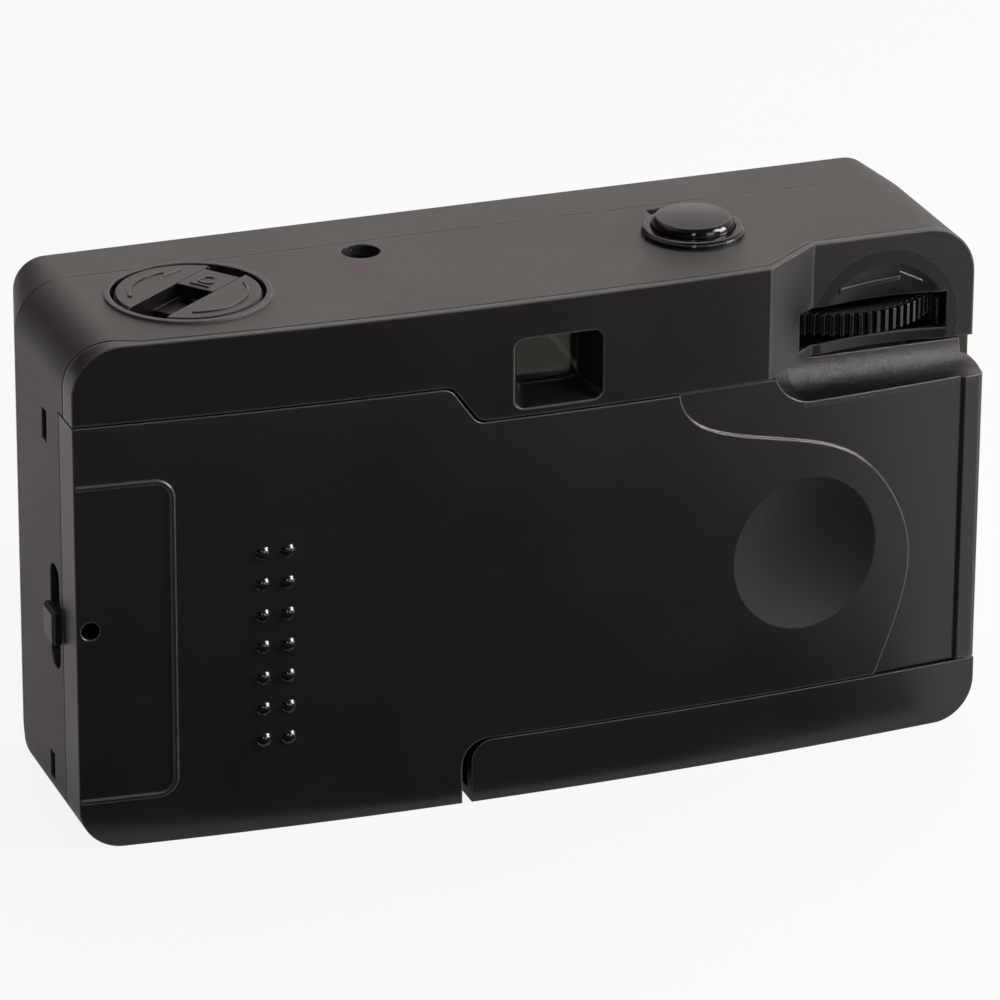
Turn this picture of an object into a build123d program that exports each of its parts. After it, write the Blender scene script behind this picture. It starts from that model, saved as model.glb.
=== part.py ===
"""Compact reusable 35 mm film camera with a built-in flash.

The camera stands on its underside at z = 0, with its lens facing -Y and its back facing +Y.
Seen from behind, the film cartridge and the rewind knob are on the left, at +X, and the
take-up spool, the thumb wheel and the back door's hinge are on the right, at -X.
All sizes are in millimetres.
"""
import os
from math import asin, atan2, cos, degrees, hypot, pi, radians, sin, sqrt

from build123d import *

# Case: overall size, walls and the visible seams
case_width = 114.0
case_height = 63.0
side_depth = 31.2
back_bow = 2.9
back_side_y = 14.6
top_radius = 6.0
foot_radius = 5.2
wall = 1.5
back_wall = 1.6
front_taper = 2.3
front_taper_top = 0.1
front_edge_radius = 0.8
front_seam_y = -7.9
seam_gap = 0.25
fit_gap = 0.15
run_gap = 0.3
shaft_gap = 0.06
reach = case_width/2 + 5.0
front_y = back_side_y - side_depth

# Rear panel and the recess round the thumb wheel
band_lip = 1.3
side_seam_y = 10.8
side_seam_x = case_width/2 - 8.5
groove_width = 0.4
groove_depth = 0.7
recess_edge_x = 28.7 - case_width/2
recess_floor_x = recess_edge_x - 7.7
recess_y = back_side_y - 3.6
door_top_high = case_height - 9.7
door_top_low = case_height - 14.4
step_top_x = 12.0
step_foot_x = 8.6
step_round = 1.9

# Film, its cartridge and its path
film_width = 35.0
frame_width = 36.0
frame_height = 24.0
film_z = case_height/2 - 2.0
cartridge_radius = 12.5
cartridge_height = 47.0
cartridge_x = case_width/2 - 18.2
cartridge_y = 1.7
cartridge_gap = 0.4
chamber_wall = 0.9
film_set_back = 2.9
bed_half = 19.4
bed_wall = 1.4
plate_y0 = 5.6
plate_thick = 2.5

# Take-up side
spool_x = 14.8 - case_width/2
spool_y = 0.4
spool_core_radius = 4.5
spool_room_radius = 9.8
spool_floor_z = 11.2
deck_z = case_height - 15.1
deck_thick = 1.1
wheel_radius = 13.2
wheel_z = case_height - 11.2
wheel_thick = 2.6
wheel_teeth = 72
wheel_tooth_depth = 0.8
ratchet_radius = 7.0
ratchet_teeth = 24
sprocket_x = -26.0
sprocket_y = 7.3
sprocket_radius = 5.9
sprocket_teeth = 8
perforation_z = film_z + 14.1
sprocket_top = perforation_z + 1.5

# Back door, its hinge and its latch
door_lip_y = 9.4
hinge_x = 1.7 - case_width/2
hinge_y = 13.2
hinge_radius = 1.75
hinge_edge_round = 0.5
hinge_pin_radius = 0.5
hinge_lug_radius = 1.0
hinge_lug_gap = 0.1
hinge_foot_z = 8.2
hinge_top_z = door_top_low - 5.7
hinge_lug = 2.5
latch_slot_y0 = 4.4
latch_slot_y1 = 8.1
latch_slot_z0 = 20.0
latch_slot_z1 = 33.2
latch_knob_z = 26.1
peep_hole_x = case_width/2 - 1.7
peep_hole_z = 27.9
peep_hole_radius = 1.1

# Battery and its door
battery_radius = 5.25
battery_length = 44.5
battery_y = 7.6
battery_z = 6.9
battery_plus_x = -30.0
strip_end_x = 9.2
strip_top_z = 7.85
strip_round = 2.6
strip_gap = 1.2
battery_hinge_y = -1.2
battery_hinge_z = 1.25
battery_hinge_radius = 1.2
battery_pin_radius = 0.55
battery_plate = 1.3
battery_door_x0 = 8.7 - case_width/2

# Rewind knob and crank
knob_radius = 8.75
knob_room = 0.4
knob_rise = 0.3
knob_depth = 4.0
knob_lift = 6.0
knob_lip = 0.3
trough_width = 5.3
trough_angle = degrees(atan2(-0.61, -0.79))
crank_pivot = 6.6
crank_near = 1.4
crank_width = 4.9
crank_pin_drop = 0.8
shaft_radius = 2.5

# Shutter button, lamp and counter
button_x = -24.0
button_y = 2.4
button_radius = 5.3
collar_radius = 6.2
collar_rise = 0.9
button_travel = 1.2
button_rise = 2.35
button_edge = 1.3
button_crown = 0.3
lamp_x = 15.4
lamp_y = -4.7
lamp_radius = 2.25
counter_x = -30.2
counter_y = -5.4
counter_radius = 7.6
counter_teeth = 40
window_x0 = -27.4
window_x1 = -21.4
window_y0 = -6.7
window_y1 = -3.9

# Optics
finder_x = -1.45
finder_z = case_height - 8.9
finder_width = 11.0
finder_height = 8.8
tunnel_height = finder_height - 1.0
lens_radius = 4.2
lens_stop_radius = 1.6
lens_ring_rise = 2.0
flash_x = 20.5
flash_z = case_height - 10.8
flash_width = 20.0
flash_height = 10.6


def block(x0, x1, y0, y1, z0, z1):
    """Box between two corners."""
    centre = Pos((x0 + x1)/2, (y0 + y1)/2, (z0 + z1)/2)
    return centre * Box(abs(x1 - x0), abs(y1 - y0), abs(z1 - z0))


def post(x, y, z0, z1, radius):
    """Upright cylinder."""
    return Pos(x, y, (z0 + z1)/2) * Cylinder(radius, z1 - z0)


def rod_y(x, z, y0, y1, radius):
    """Cylinder along the lens axis."""
    return Pos(x, (y0 + y1)/2, z) * Rot(90, 0, 0) * Cylinder(radius, y1 - y0)


def rod_x(y, z, x0, x1, radius):
    """Cylinder along the width."""
    return Pos((x0 + x1)/2, y, z) * Rot(0, 90, 0) * Cylinder(radius, x1 - x0)


def back_at(x):
    """Y of the bowed back at a given X."""
    bow_radius = ((case_width/2)**2 + back_bow**2)/(2*back_bow)
    return back_side_y + back_bow - (bow_radius - sqrt(bow_radius**2 - x**2))


def case_section(inset_x, inset_z, y):
    """Rounded outline of the case, square to the lens axis."""
    corners = Rectangle(case_width - 2*inset_x, case_height - 2*inset_z)
    top = max(top_radius - inset_x, 0.4)
    foot = max(foot_radius - inset_x, 0.4)
    corners = fillet(corners.vertices().group_by(Axis.Y)[-1], top)
    corners = fillet(corners.vertices().group_by(Axis.Y)[0], foot)
    plane = Plane(origin=(0, y, case_height/2), x_dir=(1, 0, 0), z_dir=(0, -1, 0))
    return plane * corners


def case_prism(inset, y0, y1):
    """Case outline, drawn in by an inset, between two depths."""
    return extrude(case_section(inset, inset, y1), y1 - y0)


def back_arc(x0, x1, offset):
    """Plan line of the bowed back, moved forward by an offset."""
    middle = (x0 + x1)/2
    ends = [(x, back_at(x) - offset) for x in (x0, middle, x1)]
    return ThreePointArc(*ends)


def plain_back(offset):
    """Plan line of the whole back without the recess."""
    return back_arc(reach, -reach, offset)


def stepped_back(offset):
    """Plan line of the back above the door, with the recess round the thumb wheel."""
    edge = (recess_edge_x, back_at(recess_edge_x) - offset)
    floor = [(recess_floor_x, recess_y - offset), (-reach, recess_y - offset)]
    return back_arc(reach, recess_edge_x, offset) + Polyline(edge, *floor)


def band_edge(shift):
    """Plan line of the seam between the case band and the rear pieces."""
    corner = (side_seam_x, back_at(side_seam_x) - band_lip + shift)
    slope = (side_seam_y - corner[1] + shift)/(case_width/2 - side_seam_x)
    outside = (reach, corner[1] + slope*(reach - side_seam_x))
    edge = (recess_edge_x, back_at(recess_edge_x) - band_lip + shift)
    floor = [(recess_floor_x, recess_y - band_lip + shift), (-reach, recess_y - band_lip + shift)]
    arc = back_arc(side_seam_x, recess_edge_x, band_lip - shift)
    return Polyline(outside, corner) + arc + Polyline(edge, *floor)


def behind(line, z0=-10.0, z1=case_height + 10.0):
    """Everything behind a plan line."""
    start = line @ 0
    end = line @ 1
    far = 40.0
    rest = Polyline((end.X, end.Y), (end.X, far), (start.X, far), (start.X, start.Y))
    face = make_face(line.edges() + rest.edges())
    return extrude(Plane.XY.offset(z0) * face, z1 - z0)


def wall_plan(points, y0, y1, rounds=None):
    """Plate drawn in front view (x, z) and extruded along the lens axis."""
    plane = Plane(origin=(0, y1, 0), x_dir=(1, 0, 0), z_dir=(0, -1, 0))
    face = make_face(Polyline(*points, close=True))
    if rounds:
        for (x, z), radius in rounds:
            corner = face.vertices().sort_by_distance((x, z, 0))[0]
            face = fillet([corner], radius)
    return extrude(plane * face, y1 - y0)


def toothed(x, y, z, thick, radius, depth, teeth, bore, rake=0.5, land=0.0):
    """Flat wheel with teeth round its rim; land is the flat share of each tip and root."""
    pitch = 2*pi/teeth
    marks = [(0.0, radius), (rake, radius - depth)]
    if land:
        marks = [(0.0, radius), (land, radius), (rake, radius - depth), (rake + land, radius - depth)]
    points = []
    for tooth in range(teeth):
        for share, length in marks:
            angle = pitch*(tooth + share)
            points.append((length*cos(angle), length*sin(angle)))
    face = make_face(Polyline(*points, close=True))
    wheel = extrude(Plane(origin=(x, y, z)) * face, thick)
    return wheel - post(x, y, z - 1, z + thick + 1, bore)


def rounded_tunnel(x, z, width, height, y0, y1, radius):
    """Straight rounded tunnel along the lens axis."""
    plane = Plane(origin=(x, y1, z), x_dir=(1, 0, 0), z_dir=(0, -1, 0))
    return extrude(plane * RectangleRounded(width, height, radius), y1 - y0)


def tapered_tunnel(x, z, front, rear, y0, y1):
    """Rounded tunnel whose (width, height, radius) changes from y0 to y1."""
    faces = []
    for y, (width, height, radius) in ((y0, front), (y1, rear)):
        plane = Plane(origin=(x, y, z), x_dir=(1, 0, 0), z_dir=(0, -1, 0))
        faces.append(plane * RectangleRounded(width, height, radius))
    return loft(faces, ruled=True)


def frustum(x, z, front, rear, y0, y1):
    """Sharp-cornered tunnel whose (width, height) changes from y0 to y1."""
    half_x0, half_z0 = front[0]/2, front[1]/2
    half_x1, half_z1 = rear[0]/2, rear[1]/2
    plan = Polyline((x - half_x0, y0), (x + half_x0, y0), (x + half_x1, y1), (x - half_x1, y1), close=True)
    side = Polyline((y0, z - half_z0), (y1, z - half_z1), (y1, z + half_z1), (y0, z + half_z0), close=True)
    long = rear[0] + front[0]
    tall = extrude(Plane.XY.offset(z - long) * make_face(plan), 2*long)
    start = Plane(origin=(x - long, 0, 0), x_dir=(0, 1, 0), z_dir=(1, 0, 0))
    return tall & extrude(start * make_face(side), 2*long)


def ring(x, y, z0, z1, outer, inner):
    """Upright tube."""
    return post(x, y, z0, z1, outer) - post(x, y, z0 - 1, z1 + 1, inner)


def along_trough(distance, side=0.0):
    """Plan point at a distance along the knob's trough from the knob's centre."""
    angle = radians(trough_angle)
    x = cartridge_x + distance*cos(angle) - side*sin(angle)
    y = cartridge_y + distance*sin(angle) + side*cos(angle)
    return x, y


def trough_block(s0, s1, width, z0, z1):
    """Box laid along the knob's trough."""
    x, y = along_trough((s0 + s1)/2)
    place = Pos(x, y, (z0 + z1)/2) * Rot(0, 0, trough_angle)
    return place * Box(s1 - s0, width, z1 - z0)


def arm(points, width, z0, z1):
    """Flat lever arm with round ends that passes through plan points."""
    shape = None
    for a, b in zip(points[:-1], points[1:]):
        length = hypot(b[0] - a[0], b[1] - a[1])
        turn = degrees(atan2(b[1] - a[1], b[0] - a[0]))
        centre = Pos((a[0] + b[0])/2, (a[1] + b[1])/2, z0) * Rot(0, 0, turn)
        bar = extrude(centre * SlotCenterToCenter(length, width), z1 - z0)
        shape = bar if shape is None else shape + bar
    return shape


# Outlines of the door and of the battery door, seen from the front (x, z)
step_rounds = [((step_top_x, door_top_high), step_round), ((step_foot_x, door_top_low), step_round)]
side_x = case_width/2 + 3


def door_outline():
    """Outline of the back door with its S step and its cut-out over the battery door."""
    left = strip_end_x + strip_gap
    points = [(side_x, -3), (side_x, door_top_high), (step_top_x, door_top_high),
              (step_foot_x, door_top_low), (-side_x, door_top_low), (-side_x, strip_top_z + seam_gap),
              (left, strip_top_z + seam_gap), (left, -3)]
    rounds = step_rounds + [((left, strip_top_z + seam_gap), strip_round + strip_gap/2)]
    return points, rounds


def above_door():
    """Outline of everything above the door's top seam."""
    top = case_height + 5
    points = [(side_x, door_top_high + seam_gap), (step_top_x - seam_gap, door_top_high + seam_gap),
              (step_foot_x - seam_gap, door_top_low + seam_gap), (-side_x, door_top_low + seam_gap),
              (-side_x, top), (side_x, top)]
    rounds = [((x - seam_gap, z + seam_gap), radius) for (x, z), radius in step_rounds]
    return points, rounds


def strip_outline():
    """Outline of the battery door's rear strip."""
    points = [(strip_end_x, -3), (strip_end_x, strip_top_z), (-side_x, strip_top_z), (-side_x, -3)]
    return points, [((strip_end_x, strip_top_z), strip_round)]


def make_main_shell():
    """Band of the case: top, sides and underside, with the wells for the controls."""
    shell = case_prism(0, front_seam_y + seam_gap/2, 25) - case_prism(wall, -30, 30)
    shell -= behind(band_edge(0))
    side_cut = door_lip_y - seam_gap
    shell -= block(-10, side_x, side_cut, 40, -5, door_top_high + seam_gap)
    swing = hypot(hinge_radius - hinge_edge_round, hinge_corner_y - hinge_y) + hinge_edge_round
    shell -= block(-side_x, 10, hinge_y - swing - fit_gap, 40, -5, door_top_low + seam_gap)
    shell -= block(-side_x, 10, side_cut, 40, -5, strip_top_z + seam_gap)
    # Tongue that the front cover's rim slides over
    tongue = case_prism(wall*0.55, front_seam_y - 1.2, front_seam_y + 2)
    shell += tongue - case_prism(wall, -30, 30)
    # Well of the rewind knob with its raised lip
    room = knob_radius + knob_room
    floor_z = case_height + knob_rise - knob_depth - 0.9
    well = post(cartridge_x, cartridge_y, floor_z - 1.2, case_height, room + 1.0)
    well += post(cartridge_x, cartridge_y, case_height - 1, case_height + knob_lip, room + 0.7)
    shell += well & block(0, 60, front_seam_y + seam_gap/2, 30, 50, 70)
    shell -= post(cartridge_x, cartridge_y, floor_z, case_height + 5, room)
    shell -= post(cartridge_x, cartridge_y, floor_z - 5, case_height, shaft_radius + shaft_gap)
    # Seat of the shutter button's collar, lamp hole and counter window
    shell -= post(button_x, button_y, 50, 70, collar_radius - 0.8)
    shell -= post(lamp_x, lamp_y, 50, 70, lamp_radius + 0.1)
    shell -= block(window_x0, window_x1, window_y0, window_y1, 60, 70)
    ledge = block(window_x0 - 0.8, window_x1 + 0.8, window_y0 - 0.8, window_y1 + 0.4, 61.0, 61.6)
    shell += ledge - block(window_x0 + 0.6, window_x1 - 0.6, window_y0 + 0.5, window_y1, 60, 62)
    shell += post(counter_x, counter_y, 58.2, case_height - wall + 0.2, 1.5)
    # Room for the thumb wheel's rim
    shell -= post(spool_x, spool_y, wheel_z - 0.5, wheel_z + wheel_thick + 0.5, wheel_radius + run_gap)
    # Latch slot and the snap slots of the front cover on both sides
    slot_plane = Plane(origin=(0, 0, 0), x_dir=(0, 1, 0), z_dir=(1, 0, 0))
    slot_height = latch_slot_z1 - latch_slot_z0
    slot_width = latch_slot_y1 - latch_slot_y0
    centre = Pos((latch_slot_y0 + latch_slot_y1)/2, (latch_slot_z0 + latch_slot_z1)/2, 0)
    slot = extrude(slot_plane * centre * RectangleRounded(slot_width, slot_height, slot_width*0.45), 70)
    shell -= slot
    for side in (-1, 1):
        for y0, y1, z0, z1 in snap_slots:
            shell -= block(side*(case_width/2 - wall - 1), side*(case_width/2 + 1), y0, y1, z0, z1)
    # Slim hinge lugs that sit inside the door's barrel
    lug_x1 = hinge_x + hinge_lug_radius
    for z0 in (hinge_foot_z, hinge_top_z - hinge_lug):
        lug = post(hinge_x, hinge_y, z0, z0 + hinge_lug, hinge_lug_radius)
        lug += block(hinge_x + 0.2, lug_x1, 8.5, hinge_y, z0, z0 + hinge_lug)
        lug += block(hinge_x - 0.5, lug_x1, 8.5, hinge_y - 2.4, z0, z0 + hinge_lug)
        shell += lug
    shell -= post(hinge_x, hinge_y, 0, hinge_top_z - 0.6, hinge_pin_radius + 0.02)
    # Strap bar in a pocket on the side away from the latch
    inner = -case_width/2 + wall
    shell += block(inner - 0.5, inner + 2.2, -6.0, 3.0, 29.0, 43.0)
    shell -= block(-case_width/2 - 1, inner + 1.2, -5.0, 2.0, 30.0, 42.0)
    shell += post(-case_width/2 + 0.95, -1.5, 29.5, 42.5, 0.9)
    # Opening of the battery door, its hinge lugs and the rewind release hole
    opening_y = battery_hinge_y - battery_hinge_radius - run_gap
    shell -= block(battery_door_x0 - seam_gap, strip_end_x + seam_gap, opening_y, 30, -2, wall + 1)
    for x0 in battery_lugs:
        lug_z1 = battery_hinge_z + battery_hinge_radius
        lug = block(x0, x0 + 1.2, opening_y - 1.5, battery_hinge_y, 0.05, lug_z1)
        lug += rod_x(battery_hinge_y, battery_hinge_z, x0, x0 + 1.2, battery_hinge_radius)
        shell += lug
    shell -= rod_x(battery_hinge_y, battery_hinge_z, -60, 30, battery_pin_radius + 0.02)
    shell -= post(release_x, release_y, -2, 5, release_radius + 0.15)
    return shell


# Snap slots (y0, y1, z0, z1), battery door lugs, rewind release button and screws
snap_slots = [(2.3, 4.3, deck_z - 0.2, deck_z + 3.7), (2.9, 4.8, 4.6, 8.2)]
battery_lugs = [-45.4, -37.4, -2.6, 5.4]
release_x = -29.5
release_y = -5.35
release_radius = 2.2
screw_places = [(22.0, 8.6), (7.6, deck_z + 3.7), (-24.0, 17.0), (-24.0, 34.6)]
screw_radius = 1.0
boss_radius = 1.9


def make_front_cover():
    """Tapered front moulding with its lens surround, windows, bosses and snap arms."""
    rear = front_seam_y - seam_gap/2
    face = case_section(front_taper, front_taper_top, front_y)
    outer = loft([case_section(0, 0, rear), face], ruled=True)
    rim = outer.edges().group_by(Axis.Y)[0]
    outer = fillet(rim, front_edge_radius)
    inner = loft([case_section(wall, wall, rear + 0.01),
                  case_section(front_taper + wall, front_taper_top + wall, front_y + wall)], ruled=True)
    cover = outer - inner
    # Rebate for the tongue of the case band
    cover -= case_prism(wall*0.55 - fit_gap/2, rear - 1.4, rear + 1)
    # Lens surround
    cover += rod_y(0, film_z, front_y - 1.0, front_y + 1.0, 14.0)
    cover -= rod_y(0, film_z, front_y - 3, front_y + 6, 8.1)
    # Finder and flash windows
    ahead = front_y - 5
    inside = front_y + 6
    cover -= rounded_tunnel(finder_x, finder_z, finder_width + 2.2, finder_height + 1.0, ahead, inside, 1.2)
    cover -= rounded_tunnel(flash_x, flash_z, flash_width, flash_height, ahead, inside, 1.4)
    cover -= block(switch_x - 1.6, switch_x + 1.6, ahead, inside, switch_z - 5.5, switch_z + 5.5)
    for x, z in screw_places:
        cover += rod_y(x, z, front_y + wall - 0.2, plate_y0, boss_radius)
        cover -= rod_y(x, z, -6.0, plate_y0 + 1, screw_radius + 0.02)
    for side in (-1, 1):
        for y0, y1, z0, z1 in snap_slots:
            x0 = case_width/2 - wall - fit_gap - 1.0
            x1 = case_width/2 - wall - fit_gap
            cover += block(side*x0, side*x1, front_seam_y - 4.5, y1 - 0.2, z0 + 0.3, z1 - 0.3)
            cover += block(side*x1, side*(x1 + 1.0), y0 + 0.3, y1 - 0.3, z0 + 0.3, z1 - 0.3)
    return cover


# Flash switch on the front
switch_x = 23.6
switch_z = 34.0


def make_rear_panel():
    """Fixed rear moulding above the door: eyepiece, thumb wheel recess and slot."""
    body = case_prism(0, -5, 30) & behind(band_edge(groove_width))
    body += case_prism(groove_depth, -5, 30) & behind(band_edge(0))
    room = case_prism(wall, -10, 40) - behind(stepped_back(back_wall))
    body -= room
    # Inner rim that locates the panel inside the band
    rim = case_prism(wall + fit_gap, -5, 30) - case_prism(wall + 1.1, -6, 31)
    rim = rim & (behind(band_edge(-2.4)) - behind(band_edge(0.6)))
    body += rim
    body -= behind(stepped_back(0))
    points, rounds = above_door()
    body = body & wall_plan(points, -10, 40, rounds)
    # Eyepiece pocket that narrows towards the finder's rear lens
    rear_y = back_at(0)
    pocket_y = rear_y - 4.4
    pocket_width = finder_width + 1.9
    pocket_height = finder_height + 1.0
    body += rounded_tunnel(finder_x, finder_z, pocket_width, pocket_height, pocket_y, rear_y - 1.0, 1.2)
    wide = (finder_width + 0.3, finder_height + 0.1, 1.3)
    narrow = (finder_width - 3.4, finder_height - 2.8, 0.6)
    body -= tapered_tunnel(finder_x, finder_z, narrow, wide, pocket_y - 0.01, rear_y + 0.2)
    # Shallow scoop and slot for the thumb wheel
    scoop = Pos(spool_x - 3.2, recess_y + 33.6, wheel_z - 0.8) * Sphere(34.6)
    dish = Pos(spool_x - 3.2, 0, wheel_z - 0.2) * Rot(90, 0, 0) * Cylinder(9.4, 60)
    body -= (scoop & dish)
    slot_x0 = spool_x - 11.3
    slot_x1 = spool_x + 8.5
    body -= block(slot_x0, slot_x1, recess_y - 8, 30, wheel_z - 1.6, wheel_z + wheel_thick + 0.5)
    return body


def make_back_door():
    """Hinged back: bowed plate, side and bottom lips, thumb dimple, cove and hinge barrel."""
    points, rounds = door_outline()
    body = case_prism(0, door_lip_y, 30) - behind(plain_back(0))
    room = case_prism(wall, -10, 40) - behind(plain_back(back_wall))
    body -= room
    # Thicker top edge behind the cove under the thumb wheel
    shelf_y = spool_y + spool_room_radius + 0.15
    shelf = cove(cove_radius + 1.3) & block(-case_width/2 + 0.05, -20, shelf_y, 30, 30, door_top_low)
    tooth_reach = sprocket_radius + tooth_height + run_gap
    shelf -= post(sprocket_x, sprocket_y, 30, sprocket_top + run_gap, sprocket_radius + run_gap)
    shelf -= post(sprocket_x, sprocket_y, perforation_z - 1.6, sprocket_top + run_gap, tooth_reach)
    body += shelf - behind(plain_back(back_wall*0.5))
    # Inside pad that backs the thumb dimple, and the film pressure pad
    pad = rod_y(dimple_x, dimple_z, 0, 30, 10.8)
    body += pad & (behind(plain_back(back_wall + 0.8)) - behind(plain_back(back_wall - 0.5)))
    body += pressure_pad()
    body = body & wall_plan(points, -10, 40, rounds)
    body -= cove(cove_radius)
    body -= beyond_sweep()
    body -= dimple()
    # Outlined field beside the latch, grip dots and the peep hole
    body += outline_ridge()
    for column in dot_columns:
        for row in range(7):
            z = dot_top - row*dot_pitch
            dot_y = back_at(column)
            body += rod_y(column, z, dot_y - 0.3, dot_y + dot_height, dot_radius)
    body -= rod_y(peep_hole_x, peep_hole_z, 10, 20, peep_hole_radius)
    # The edge away from the latch is the hinge barrel, with a skin over the case's lugs
    barrel_top = hinge_top_z + 0.3
    barrel_x1 = hinge_x + hinge_radius
    body -= block(-side_x, hinge_x, -10, 40, -5, 80)
    corner = hinge_edge(barrel_top, door_top_low)
    body += corner - cove(cove_radius)
    body -= block(-side_x, barrel_x1 + 0.4, -10, hinge_y, -5, barrel_top)
    body += hinge_edge(strip_top_z + seam_gap, barrel_top)
    for z0 in (hinge_foot_z, hinge_top_z - hinge_lug):
        low = z0 - 0.2
        high = z0 + hinge_lug + 0.2
        lug_room = post(hinge_x, hinge_y, low, high, hinge_lug_radius + hinge_lug_gap)
        lug_room += block(-side_x, hinge_x, -10, hinge_y + barrel_skin_y, low, high)
        lug_room += block(hinge_x - 0.1, barrel_x1 + 0.6, -10, hinge_y, low, high)
        body -= lug_room
    body -= post(hinge_x, hinge_y, hinge_foot_z, hinge_top_z, hinge_pin_radius + shaft_gap)
    for z in hook_places:
        body += door_hook(z)
    return body


dimple_x = 22.3 - case_width/2
dimple_z = 25.8
dimple_radius = 9.7
dimple_depth = 1.1
cove_radius = 3.8
cove_end_radius = 5.2
cove_end_x = recess_edge_x - 6.05
sweep_depth = 0.45
tooth_height = 0.9
barrel_skin_y = 0.8
hinge_corner_y = back_side_y - hinge_edge_round
dot_columns = (34.8, 31.8)
dot_top = 35.5
dot_pitch = 3.97
dot_radius = 0.7
dot_height = 0.4
hook_places = (21.0, 31.5)
hook_nose = 3.3


def dimple():
    """Shallow round hollow for the thumb."""
    radius = (dimple_radius**2 + dimple_depth**2)/(2*dimple_depth)
    surface = back_at(dimple_x)
    tilt = degrees(asin(2*back_bow*2*abs(dimple_x)/case_width**2))
    floor = Pos(dimple_x, surface - dimple_depth, dimple_z) * Rot(0, 0, tilt)
    return floor * Pos(0, radius, 0) * Sphere(radius)


def cove(radius):
    """Hollow along the door's top edge under the wheel, with a quarter-round bottom and end."""
    y = recess_y + cove_radius - 0.1
    z = door_top_low + 0.3
    grown = radius - cove_radius
    far = -case_width/2 - 8
    trough = rod_x(y, z, far, cove_end_x + 8, radius)
    trough += block(far, cove_end_x + 8, y, 40, z - radius, z + radius)
    end_z = z - cove_radius + cove_end_radius
    span = block(far, cove_end_x, -10, 41, z - 10, z + 10)
    return trough & (span + rod_y(cove_end_x, end_z, -10, 41, cove_end_radius + grown))


def beyond_sweep():
    """Thin layer above and right of an S-shaped curve that sweeps round the dimple."""
    sides = [(18.0, 23.7), (16.3, 19.4), (11.2, 16.8), (2.7, 14.8), (-5.1, 11.8), (-10.2, 6.2),
             (-12.8, -1.4), (-11.7, -9.3), (-7.7, -19.8)]
    points = [(dimple_x + x, dimple_z + z) for x, z in sides]
    start, end = points[0], points[-1]
    curve = Spline(*points)
    rest = Polyline(end, (-reach, end[1]), (-reach, start[1]), start)
    plane = Plane(origin=(0, 30, 0), x_dir=(1, 0, 0), z_dir=(0, -1, 0))
    field = extrude(plane * make_face(curve.edges() + rest.edges()), 30)
    return field & behind(plain_back(sweep_depth))


def hinge_edge(z0, z1):
    """Hinge barrel whose outer corner is filled up to the bowed back."""
    outside = hinge_x - hinge_radius
    corner_x = outside + hinge_edge_round
    edge = post(corner_x, hinge_corner_y, z0, z1, hinge_edge_round)
    edge += block(outside, hinge_x, hinge_y, hinge_corner_y, z0, z1)
    edge += block(corner_x, hinge_x, hinge_y, 30, z0, z1)
    edge += post(hinge_x, hinge_y, z0, z1, hinge_radius)
    return edge - behind(plain_back(0))


def pressure_pad():
    """Ribs inside the door that hold the film flat over the gate."""
    ribs = None
    skin = behind(plain_back(film_set_back - 0.3)) - behind(plain_back(back_wall - 0.4))
    for column in range(9):
        x = -18.4 + column*4.6
        rib = block(x - 0.8, x + 0.8, 0, 30, film_z - 16.5, film_z + 16.5)
        ribs = rib if ribs is None else ribs + rib
    for z in (film_z - 15.8, film_z + 15.8):
        ribs += block(-19.2, 19.2, 0, 30, z - 0.8, z + 0.8)
    return ribs & skin


def outline_ridge():
    """Thin raised line round the field beside the latch."""
    outer = rounded_tunnel(56.2, 26.0, 22.0, 40.2, 5, 30, 2.4)
    inner = rounded_tunnel(56.2, 26.0, 21.0, 39.2, 4, 31, 1.9)
    skin = behind(plain_back(0.3)) - behind(plain_back(-0.22))
    return (outer - inner) & skin & block(0, case_width/2 - 0.3, 0, 40, 0, 60)


def door_hook(z):
    """Hook on the door's side lip that the latch slider holds."""
    x0 = case_width/2 - wall - 2.8
    x1 = x0 + 0.9
    hook = block(x0, x1, 4.1, door_lip_y + 2.0, z, z + 2.6)
    hook += block(x0, x1, 4.1, 5.3, z - hook_nose, z)
    hook += block(x0, case_width/2 - wall + 0.1, door_lip_y + 0.4, door_lip_y + 1.9, z, z + 2.6)
    return hook


def make_hinge_pin():
    """Steel pin of the back door."""
    return post(hinge_x, hinge_y, hinge_foot_z + 0.3, hinge_top_z - 0.7, hinge_pin_radius)


def make_latch_slider():
    """Latch plate behind the side wall with its knob, and a peg for each door hook."""
    inner = case_width/2 - wall
    knob_y = (latch_slot_y0 + latch_slot_y1)/2
    plate = block(inner - 1.45, inner - 0.2, 3.6, 8.9, 15.0, 34.2)
    plate += block(inner - 1.0, case_width/2 + 0.3, knob_y - 1.2, knob_y + 1.2,
                   latch_knob_z - 1.9, latch_knob_z + 1.9)
    knob = block(case_width/2 + 0.1, case_width/2 + 1.2, knob_y - 1.2, knob_y + 2.65,
                 latch_knob_z - 2.1, latch_knob_z + 2.1)
    knob = chamfer(knob.faces().sort_by(Axis.X)[-1].edges(), 0.35)
    plate += knob
    for z in hook_places:
        peg_z1 = z - hook_nose - run_gap
        plate += block(inner - 2.9, inner - 1.0, 5.6, 7.2, peg_z1 - 1.5, peg_z1)
    return plate


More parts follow.
